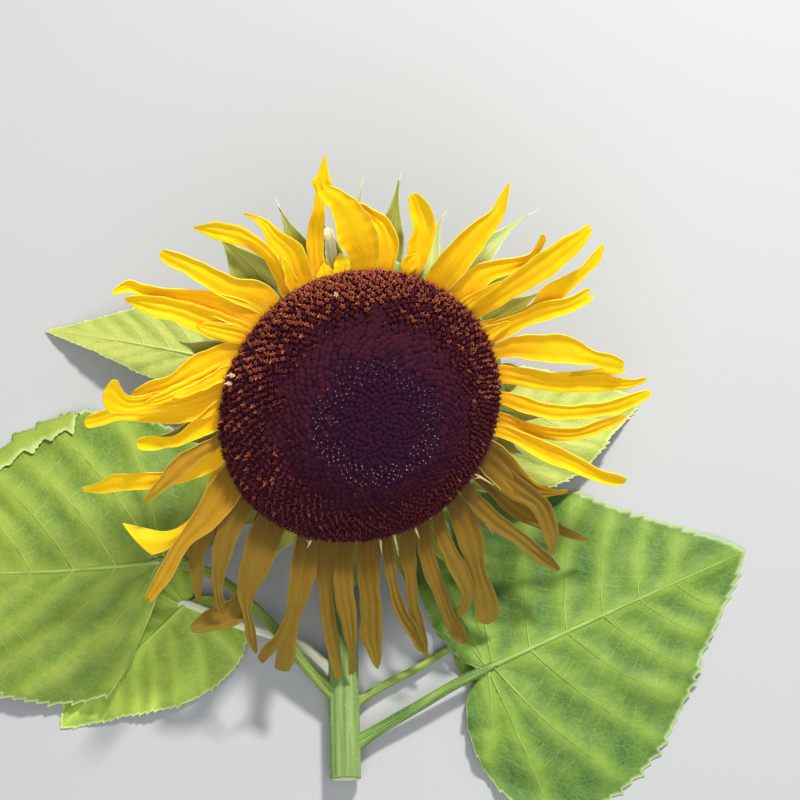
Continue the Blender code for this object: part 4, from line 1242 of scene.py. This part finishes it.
def curve_value(table, where, column):
    """A column of a table read along a smooth curve through its rows."""
    index = 0
    while index < len(table) - 2 and where > table[index + 1][0]:
        index += 1
    slopes = []
    for row in (index, index + 1):
        before, after = table[max(row - 1, 0)], table[min(row + 1, len(table) - 1)]
        slopes.append((after[column] - before[column]) / (after[0] - before[0]))
    low, high = table[index], table[index + 1]
    span = high[0] - low[0]
    t = (where - low[0]) / span
    return ((2 * t ** 3 - 3 * t * t + 1) * low[column] + (t ** 3 - 2 * t * t + t) * span * slopes[0]
            + (3 * t * t - 2 * t ** 3) * high[column] + (t ** 3 - t * t) * span * slopes[1])


def tip_pull(shape, side):
    """How far the end's edge is drawn back at side (-1 to 1), in widths of the end."""
    if shape == "point":
        return 0.9 * abs(side) ** 1.3
    if shape == "notch":
        return 0.55 * max(0.0, 1 - abs(side - 0.1) / 0.4) + 0.35 * side ** 4
    if shape == "slant":
        return 0.7 * (0.5 - 0.5 * side) ** 1.2
    if shape == "fork":
        return 0.6 * max(0.0, 1 - abs(side - 0.15) / 0.35) + 0.15 * side ** 4
    return 0.5 * (1 - math.sqrt(max(0.0, 1 - side * side)))


def petal_form(number):
    """The form of one petal: its own, or dealt by its number."""
    rng = random.Random(100 + number)
    shape = rng.choice(("point", "point", "round", "notch"))
    for name, numbers in END_SHAPES.items():
        shape = name if number in numbers else shape
    return dict(shape=shape, roll=rng.uniform(0.3, 1.0), end_roll=rng.uniform(0.2, 1.3),
                curl=TIP_CURLS.get(number, rng.uniform(-16, 10)),
                strong=SIDE_ROLLS.get(number), wave=rng.uniform(0.3, 1.0) * MM,
                phase=rng.uniform(0, math.tau), ridges=rng.choice((1.5, 2.0, 2.5, 3.0)),
                relief=rng.uniform(0.25, 0.60) * MM, slant=rng.uniform(-0.5, 0.5),
                frill=rng.uniform(0.1, 0.35) * MM)


def petal_place(ray, line, edges, form, rise):
    """The function that lays a grid as this petal, in the head frame."""
    length, twist = ray[3] * MM, math.radians(ray[6])
    first, last = edges[0][0], edges[-1][0]
    end_width = (edges[-1][2] - edges[-1][1]) * MM

    def place(u, v):
        side = 2 * u - 1
        pull = tip_pull(form["shape"], side) * max(end_width, 1.2 * MM) / length
        share = first + v * (last - first - pull)
        point, along, across = line_at(line, share)
        turned = Matrix.Rotation(twist * min(share, 1.0), 3, along) @ across
        normal = turned.cross(along).normalized()
        left, right = (curve_value(edges, share, column) * MM for column in (1, 2))
        wide = max(right - left, 0.4 * MM)
        far = (share - first) / (last - first)
        roll = form["roll"] + (form["end_roll"] - form["roll"]) * smoothstep(0.5, 1.0, far)
        roll = (form["strong"] or roll) * smoothstep(0.0, 0.3, far) + 1e-4
        lateral = (left + right) / 2 + wide / 2 * side
        raised = wide / roll * (1 - math.cos(roll * side / 2)) + rise * MM
        fade = smoothstep(0.0, 0.2, far) * (1 - 0.6 * smoothstep(0.75, 1.0, far))
        fold = math.cos(math.pi * form["ridges"] * (side + form["slant"] * (1 - far) * far))
        raised += form["relief"] * fold * fade * min(1.0, wide / (9 * MM))
        raised += form["wave"] * side * math.sin(9 * share + form["phase"]) * share
        curled = max(0.0, share - CURL_FROM) ** 2 / (2 * (1 - CURL_FROM))
        raised += math.radians(form["curl"]) * length * curled
        lateral += form["frill"] * side * math.sin(31 * share + 2 * form["phase"]) * fade
        raised += 0.5 * form["frill"] * abs(side) * math.sin(44 * share + form["phase"]) * fade
        return HEAD @ (point + turned * lateral + normal * raised)

    return place


def petal_tone(number):
    for tone, numbers in TONE_PETALS.items():
        if number in numbers:
            return tone
    return "bright"


def make_petal(name, number, edges, rows, form, rise, look, slot, nodes=()):
    """One petal along the line of the solid with this number."""
    ray = RAYS[number - 1]
    place = petal_place(ray, ray_line(ray, measured_lift(number)), edges, form, rise)
    petal = grid_sheet(name, PETAL_COLUMNS, rows, place)
    thicken(petal, PETAL_THICKNESS)
    finish_piece(petal, slot, ("petal_" + look,), nodes, 70)


def make_petals():
    for number, (ray, edges) in enumerate(zip(RAYS, PETAL_EDGES), 1):
        # The lower petals take the ochre slot, which holds the petals with painted shade.
        slot = "petal_ochre" if PAINTED_SHADE_CLOCK[0] < ray[0] < PAINTED_SHADE_CLOCK[1] else "petal_yellow"
        make_petal("petal_%02d" % number, number, edges, PETAL_ROWS, petal_form(number),
                   RISES.get(number, 0.0), petal_tone(number), slot, ("ray_%02d" % number,))
    for index, (number, rise, edges) in enumerate(SMALL_PETALS):
        form = petal_form(SMALL_PETAL_FORM + index)
        form["relief"] *= 0.5
        make_petal("petal_small_%d" % (index + 1), number, edges, PETAL_ROWS // 2, form, rise,
                   "bright", "petal_yellow")


# ---------------------------------------------------------------- hairs

def rod_hairs(frames, radii, count, spread, seed):
    """Roots and directions of hairs round a rod: a count from each of its rings."""
    rng = random.Random(seed)
    roots = []
    for (point, tangent, across, other), radius in zip(frames, radii):
        for _ in range(count):
            turn = around(across, other, rng.uniform(0, math.tau))
            roots.append((point + tangent * rng.uniform(*spread) * MM + turn * radius, turn))
    return roots


def make_hairs(name, roots, lengths, radius, seed):
    """Many fine three-sided spikes; each root is (place, direction)."""
    rng = random.Random(seed)
    verts, faces = [], []
    for place, direction in roots:
        side = direction.orthogonal().normalized()
        other = direction.cross(side)
        bend = (side * rng.uniform(-0.3, 0.3) + other * rng.uniform(-0.3, 0.3))
        reach = rng.uniform(*lengths) * MM
        a, b, c, d = range(len(verts), len(verts) + 4)
        verts += [place - direction * 0.1 * MM
                  + around(side, other, math.tau * turn / 3) * radius * MM for turn in range(3)]
        tip = place + (direction + bend) * reach
        tip.z = max(tip.z, FLOOR)
        verts.append(tip)
        faces += [(c, b, a), (a, b, d), (b, c, d), (c, a, d)]
    finish_piece(array_mesh(name, verts, faces), "stem_green", ("hair",), crease=30)


def make_stem_hairs():
    points, radii = stem_line()
    roots = rod_hairs(path_frames(points), [radius * 0.97 for radius in radii],
                      count=STEM_HAIRS, spread=(0, 4), seed=61)
    roots = [root for root in roots if root[0].y > 1 * MM and root[0].z > FLOOR + 1 * MM]
    make_hairs("stem_hairs", roots, lengths=(0.9, 2.2), radius=0.08, seed=62)


# ---------------------------------------------------------------- bracts

def bract_place(clock, length, width, level, lift, rng):
    """The function that lays a grid as one bract, in the head frame."""
    line = strip_line(BRACT_ROOT_RADIUS, level, clock, 0, 0, length * MM, lift, 0)
    curl, sway = rng.uniform(-2.5, 3.5) * MM, rng.uniform(-2.0, 2.0) * MM
    drift = BRACT_DRIFTS.get(clock, 0.0) * MM

    def place(u, v):
        side = 2 * u - 1
        point, along, across = line_at(line, v)
        normal = across.cross(along).normalized()
        wide = width * MM * straight_between(BRACT_WIDTHS, v)
        raised = wide * 0.12 * abs(side) ** 1.5 - 0.6 * MM * math.exp(-(side / 0.12) ** 2) * (1 - v)
        raised += curl * v ** 3 + 0.5 * MM * side * math.sin(8 * v + sway / MM)
        lateral = wide * side / 2 + sway * v ** 3 + drift * v ** 2
        return HEAD @ (point + across * lateral + normal * raised)

    return place


def bract_hairs(place, rng):
    """Roots and directions of the hairs on one bract: along its edges, then on its faces."""
    out = HEAD_TURN.col[2]
    roots = []
    for _ in range(EDGE_HAIRS):
        edge, along = rng.choice((0.0, 1.0)), rng.uniform(0.05, 0.97)
        root, middle = place(edge, along), place(0.5, along)
        ahead = (place(0.5, min(1.0, along + 0.05)) - middle).normalized()
        roots.append((root, ((root - middle).normalized() + ahead * 0.5).normalized()))
    for _ in range(FACE_HAIRS):
        spot, along = rng.uniform(0.1, 0.9), rng.uniform(0.05, 0.9)
        root = place(spot, along)
        away = -out if rng.random() < 0.6 else out
        ahead = (place(spot, min(1.0, along + 0.05)) - root).normalized()
        roots.append((root, (away + ahead * 0.7).normalized()))
    return roots


def make_bracts():
    rng = random.Random(33)
    hair_roots, verts, faces = [], [], []
    for name, bracts, level, lift in BRACT_ROWS:
        blades = []
        for clock, length, width in bracts:
            place = bract_place(clock, length, width, level, lift, rng)
            blades.append(grid_sheet(name + "_blade", 12, 34, place))
            # The pale tone is painted light on these bracts.
            tone = "pale" if clock in PAINTED_LIT_BRACTS else "olive"
            blades[-1].data.materials.append(MATERIALS["bract_" + tone])
            tip, ahead = place(0.5, 1.0), place(0.5, 1.0) - place(0.5, 0.96)
            side = ahead.cross(HEAD_TURN.col[2]).normalized() * rng.uniform(-1.5, 1.5) * MM
            reach = ahead.normalized() * rng.uniform(6, 10) * MM
            if length > THREAD_FROM and not THREADLESS[0] < clock < THREADLESS[1]:
                points = [tip - ahead, tip, tip + reach * 0.5 + side * 0.3, tip + reach + side]
                add_tube(verts, faces, points, [radius * MM for radius in THREAD_RADII], 5)
            hair_roots += bract_hairs(place, rng)
        row = join(name + "_blades", blades)
        thicken(row, BRACT_THICKNESS)
        finish_piece(row, "bract_green", (), (name,), 70)
    finish_piece(array_mesh("bract_threads", verts, faces), "bract_green", ("hair",))
    make_hairs("bract_hairs", hair_roots, lengths=(1.0, 2.0), radius=0.07, seed=41)


# ---------------------------------------------------------------- leaves

def outline_reach(angle):
    """Reach of the margin at an angle from the midrib; the first two spans are straight."""
    table = LEAF_OUTLINE
    index = next((index for index, (high, _) in enumerate(table) if index and angle <= high),
                 len(table) - 1)
    low, high = table[index - 1][0], table[index][0]
    t = min(1.0, (angle - low) / (high - low))
    b, c = table[index - 1][1], table[index][1]
    if index < 3:
        return b + (c - b) * t
    return catmull(table[index - 2][1], b, c, table[min(index + 1, len(table) - 1)][1], t)


def leaf_point(leaf, along, across):
    """Place on the lower face of the blade's solid for a point in the flat leaf (metres)."""
    length = leaf["length"] * MM
    base = Vector(leaf["base"]) * MM
    share = max(0.0, along / length)
    heading = math.radians(leaf["heading"])
    turned = heading + math.radians(leaf["turn"]) * share / 2
    lateral = heading + math.radians(leaf["turn"]) * share + math.pi / 2
    drop = (base.z - FLOOR) * (0.25 * share + 0.75 * share ** 2.2)
    drop += leaf["sag"] * MM * (across / (0.5 * length)) ** 2
    drop += 0.5 * (base.z - FLOOR) * max(0.0, -along / length)
    return Vector((base.x + math.cos(turned) * along + math.cos(lateral) * across,
                   base.y + math.sin(turned) * along + math.sin(lateral) * across,
                   max(FLOOR, base.z - drop)))


def flat_point(leaf, angle, half, share, tooth=0.0):
    """A point of the flat leaf: angle from the midrib, half (0 left, 1 right), share of reach."""
    reach = outline_reach(angle) * leaf["length"] * MM * share + tooth * share ** 14
    along = reach * math.cos(math.radians(angle))
    across = (1 - 2 * half) * reach * math.sin(math.radians(angle)) * leaf["spread"][half]
    if along < 0:
        along *= leaf["lobes"][half]
    return along + leaf["rake"][half] * abs(across), across


def reach_share(leaf, along, across):
    """How far out a point of the flat leaf lies, as a share of the reach of the margin."""
    half = 0 if across >= 0 else 1
    along -= leaf["rake"][half] * abs(across)
    along /= leaf["lobes"][half] if along < 0 else 1.0
    across = abs(across) / leaf["spread"][half]
    angle = min(math.degrees(math.atan2(across, along)), LEAF_LAST_ANGLE)
    return min(1.0, math.hypot(along, across) / (outline_reach(angle) * leaf["length"] * MM))


def margin_columns(leaf, half, rng):
    """Angle and tooth height of each column of one half, evenly spaced along the margin."""
    trial = [LEAF_LAST_ANGLE * step / 400 for step in range(401)]
    places = [flat_point(leaf, angle, half, 1.0) for angle in trial]
    lengths = [0.0]
    for first, second in zip(places, places[1:]):
        lengths.append(lengths[-1] + math.dist(first, second))
    steps = np.linspace(0.0, lengths[-1], LEAF_SPOKES // 2 + 1)
    angles = [float(angle) for angle in np.interp(steps, lengths, trial)]
    heights, height = [], 0.0
    for column in range(len(steps)):
        place = column % len(TOOTH_PROFILE)
        if place == 0:
            height = rng.choice((0.3, 0.6, 0.9, 1.1)) * LEAF_TOOTH * leaf["length"] / FULL_LEAF
            height *= smoothstep(0.0, 0.05, column / len(steps))
            height *= 1 - 0.7 * smoothstep(0.75, 0.95, column / len(steps))
        heights.append(height * TOOTH_PROFILE[place])
    return angles, heights


def vein_routes(leaf):
    """Flat points and end radii of the side veins and the branches between them."""
    length = leaf["length"] * MM
    size = leaf["length"] / FULL_LEAF
    routes = []
    for half in (0, 1):
        previous = None
        for start, angle in SIDE_VEINS:
            x0 = start * length
            x2, y2 = flat_point(leaf, angle, half, VEIN_END)
            bow_x, bow_y = x0 + (x2 - x0) * VEIN_BOW[0], y2 * VEIN_BOW[1]
            route = []
            for step in range(VEIN_STEPS + 1):
                t = step / VEIN_STEPS
                route.append(((1 - t) ** 2 * x0 + 2 * t * (1 - t) * bow_x + t * t * x2,
                              2 * t * (1 - t) * bow_y + t * t * y2))
            thick = 0.85 if start < 0.1 else 0.70 - 0.4 * start
            routes.append((route, thick * size + 0.12, 0.16))
            for first in range(3, 15, 2) if previous else ():
                ax, ay = route[first]
                bx, by = previous[first + 2]
                if math.hypot(bx - ax, by - ay) > BRANCH_GAP * length:
                    branch = [(ax + (bx - ax) * t, ay + (by - ay) * t)
                              for t in np.linspace(0.0, BRANCH_END, 10)]
                    routes.append((branch, 0.13 * size + 0.05, 0.13))
            previous = route
    return routes


def blade_relief(leaf, distance, along, across, phase):
    """Height of the blade over its solid's seat: ridged at the veins, bowed between them."""
    size = leaf["length"] / FULL_LEAF
    share = reach_share(leaf, along, across)
    quilt = -QUILT_DEPTH * size * (1 - math.exp(-(distance / (QUILT_REACH * size)) ** 2))
    turn = math.atan2(across, along + 0.1)
    ripple = math.sin(21 * turn + phase) + 0.7 * math.sin(37 * turn)
    edge = EDGE_WAVE * size * share ** 4 * ripple
    spot = Vector((along, across, phase * MM))
    wrinkle = fractal(spot / WRINKLE_SIZE, 0.9, 2.0, 3) * WRINKLE_HEIGHT
    return LEAF_SEAT + quilt + edge + wrinkle * smoothstep(0, WRINKLE_FADE, distance)


def leaf_surface(leaf, phase):
    """From flat leaf coordinates to the middle of the dressed blade, and how far veins are."""
    routes = vein_routes(leaf)
    samples = [(step / 40 * leaf["length"] * MM, 0.0) for step in range(41)]
    for route, thick, _ in routes:
        if thick > 0.35:
            samples += route
    tree = kdtree.KDTree(len(samples))
    for index, (x, y) in enumerate(samples):
        tree.insert((x, y, 0), index)
    tree.balance()

    def surface(along, across):
        distance = tree.find((along, across, 0))[2]
        place = leaf_point(leaf, along, across)
        place.z += blade_relief(leaf, distance, along, across, phase)
        place.z = max(place.z, FLOOR + LEAF_THICKNESS)
        return place, distance

    return surface, routes


def fold_share(leaf, half, angle):
    """How far past the fold line the blade runs at this angle, as a share of its reach."""
    if not leaf["fold"] or leaf["fold"][0] != half:
        return 0.0
    _, first, last, width = leaf["fold"]
    return width * smoothstep(first, first + 10, angle) * (1 - smoothstep(last - 10, last, angle))


def make_blade(name, leaf, surface):
    rng = random.Random(70 + len(name))
    columns = [margin_columns(leaf, half, rng) for half in (0, 1)]
    size = leaf["length"] / FULL_LEAF
    double = 2 * len(TOOTH_PROFILE)
    hollows = []

    def place(u, v):
        turn = 2 * u - 1
        half = 0 if turn >= 0 else 1
        angles, teeth = columns[half]
        column = round(abs(turn) * LEAF_SPOKES / 2)
        angle, tooth = angles[column], teeth[column]
        over = fold_share(leaf, half, angle)
        if over:
            first = column // double * double
            tooth = teeth[first + (column - first) // 2] * 1.3
        share = v * (1 + over)
        if share <= 1:
            point, distance = surface(*flat_point(leaf, angle, half, share, tooth))
            hollows.append(1 - math.exp(-(distance / (HOLLOW_REACH * size)) ** 2))
            return point
        turned = (share - 1) / over
        back = 1 - (share - 1) * 0.94
        reach = outline_reach(angle) * leaf["length"] * MM
        flat = flat_point(leaf, angle, half, back - 1.3 * tooth / reach * turned ** 8)
        point, _ = surface(*flat)
        point.z += 1.2 * MM + 2.2 * MM * math.sin(min(1.0, turned) * math.pi * 0.8)
        hollows.append(FOLD_HOLLOW)
        return point

    blade = grid_sheet(name + "_blade", LEAF_SPOKES, LEAF_RINGS, place)
    hollow = blade.data.attributes.new("hollow", "FLOAT", "POINT")
    hollow.data.foreach_set("value", hollows)
    merge_doubles(blade, 1e-7, outward=False)
    thicken(blade, LEAF_THICKNESS)
    finish_piece(blade, "leaf_green", ("leaf_" + leaf["tone"],), (name,), 65)


def make_veins(name, leaf, surface, routes):
    """Raised veins on the blade, joined in one piece."""
    verts, faces = [], []
    length = leaf["length"] * MM
    midrib = [(step / 30 * 0.985 * length, 0.0) for step in range(31)]
    for route, thick, thin in [(midrib, leaf["radius"] * 0.50, 0.25)] + routes:
        points = [surface(x, y)[0] + Vector((0, 0, 0.25 * MM)) for x, y in route]
        steps = len(points) - 1
        radii = [(thick + (thin - thick) * (step / steps) ** 0.6) * MM
                 for step in range(steps + 1)]
        for point, radius in zip(points, radii):
            point.z = max(point.z, FLOOR + radius)
        add_tube(verts, faces, points, radii, 6)
    finish_piece(array_mesh(name + "_veins", verts, faces), "leaf_green",
                 ("vein_" + leaf["tone"],))


def make_stalk(name, leaf):
    """The leaf stalk, grooved along its top, from inside the stem to the blade."""
    radius = leaf["radius"] * MM
    seat = Vector((0, 0, LEAF_SEAT))
    route = [Vector(point) * MM for point in leaf["stalk"]]
    route += [leaf_point(leaf, share * leaf["length"] * MM, 0) + seat for share in (0, 0.06)]
    points = smooth_curve(route, STALK_RINGS + 1)
    for point in points:
        point.z = max(point.z, FLOOR + radius)
    frames = path_frames(points)

    def radius_at(ring, angle):
        share = ring / STALK_RINGS
        groove = 0.20 * math.exp(-((abs(angle) - math.pi) / 0.5) ** 2)
        flare = 0.35 * math.exp(-(share / 0.12) ** 2)
        taper = 1 - 0.32 * share - 0.42 * smoothstep(0.75, 1.0, share)
        return radius * taper * (1 + flare - groove + 0.03 * math.cos(7 * angle))

    stalk = bend_rod(name + "_stalk", 20, frames, radius_at)
    # The cream skin on this stalk is partly painted light.
    tone = "cream" if name == "leaf_foot_left" else leaf["tone"]
    finish_piece(stalk, "leaf_green", ("stalk_" + tone,))
    return rod_hairs(frames[4:], [radius * 0.85] * len(frames), count=STALK_HAIRS,
                     spread=(-3, 3), seed=len(name))


def make_leaves():
    hair_roots = []
    for index, (name, leaf) in enumerate(LEAVES.items()):
        surface, routes = leaf_surface(leaf, 1.7 * index)
        make_blade(name, leaf, surface)
        make_veins(name, leaf, surface, routes)
        hair_roots += make_stalk(name, leaf)
    make_hairs("stalk_hairs", hair_roots, lengths=(0.7, 1.7), radius=0.07, seed=52)


# ---------------------------------------------------------------- materials of the plant

def make_materials():
    for tone, colours in PETAL_TONES.items():
        MATERIALS["petal_" + tone] = petal_material("petal_" + tone, colours)
    for tone, (light, dark) in LEAF_TONES.items():
        MATERIALS["leaf_" + tone] = leaf_material("leaf_" + tone, (light, dark))
        MATERIALS["vein_" + tone] = mottled_material("vein_" + tone, paler(light, 1.15, 0.06),
                                                     light, 60.0, 0.5)
        MATERIALS["stalk_" + tone] = stem_material("stalk_" + tone, light, dark)
    for tone, colours in BRACT_TONES.items():
        MATERIALS["bract_" + tone] = bract_material("bract_" + tone, colours)
    for key, (name, light, dark) in SKINS.items():
        MATERIALS[key] = stem_material(name, light, dark)
    for key, (name, light, dark, scale, roughness) in PALE_MATTERS.items():
        MATERIALS[key] = mottled_material(name, light, dark, scale, roughness)
    for key, (light, dark) in FLORET_TONES.items():
        MATERIALS[key] = mottled_material(key, light, dark, 420.0, 0.85, Specular_IOR_Level=0.08)


# ---------------------------------------------------------------- studio

def make_floor():
    deselect_all()
    bpy.ops.mesh.primitive_plane_add(size=14.0, location=(0, 0, FLOOR))
    floor = bpy.context.object
    floor.name = "floor"
    material, _ = new_material("floor_pale", 0.9, Base_Color=(0.46, 0.47, 0.48, 1.0))
    floor.data.materials.append(material)


def put(name, data, location, direction, axis):
    """Places a light or camera so that its axis points in a direction."""
    thing = bpy.data.objects.new(name, data)
    bpy.context.scene.collection.objects.link(thing)
    thing.location = location
    thing.rotation_mode = "QUATERNION"
    thing.rotation_quaternion = direction.to_track_quat(axis, "Y")
    return thing


def make_lights():
    for name, direction, size, power, colour in LIGHTS:
        light = bpy.data.lights.new(name, "AREA")
        light.energy, light.size, light.color = power, size, colour
        direction = Vector(direction).normalized()
        put(name, light, HEAD.translation + direction * LIGHT_DISTANCE, direction, "Z")
    world = bpy.data.worlds.new("studio")
    bpy.context.scene.world = world
    world.use_nodes = True
    backdrop = world.node_tree.nodes["Background"]
    backdrop.inputs[0].default_value = BACKDROP
    backdrop.inputs[1].default_value = BACKDROP_STRENGTH
    bpy.context.scene.view_settings.view_transform = "Standard"


def make_camera():
    rise = math.radians(CAMERA_ELEVATION)
    look = Vector((0, math.cos(rise), -math.sin(rise)))
    up = Vector((0, math.sin(rise), math.cos(rise)))
    aim = HEAD.translation + Vector((1, 0, 0)) * CAMERA_AIM.x + up * CAMERA_AIM.y
    data = bpy.data.cameras.new("camera")
    data.lens = CAMERA_LENS
    bpy.context.scene.camera = put("camera", data, aim - look * CAMERA_DISTANCE, look, "-Z")


def main():
    make_camera()
    make_lights()
    make_floor()
    make_materials()
    make_stem()
    make_stem_hairs()
    make_receptacle()
    make_disc_bed()
    make_florets()
    make_pale_bits()
    make_petals()
    make_bracts()
    make_leaves()


main()
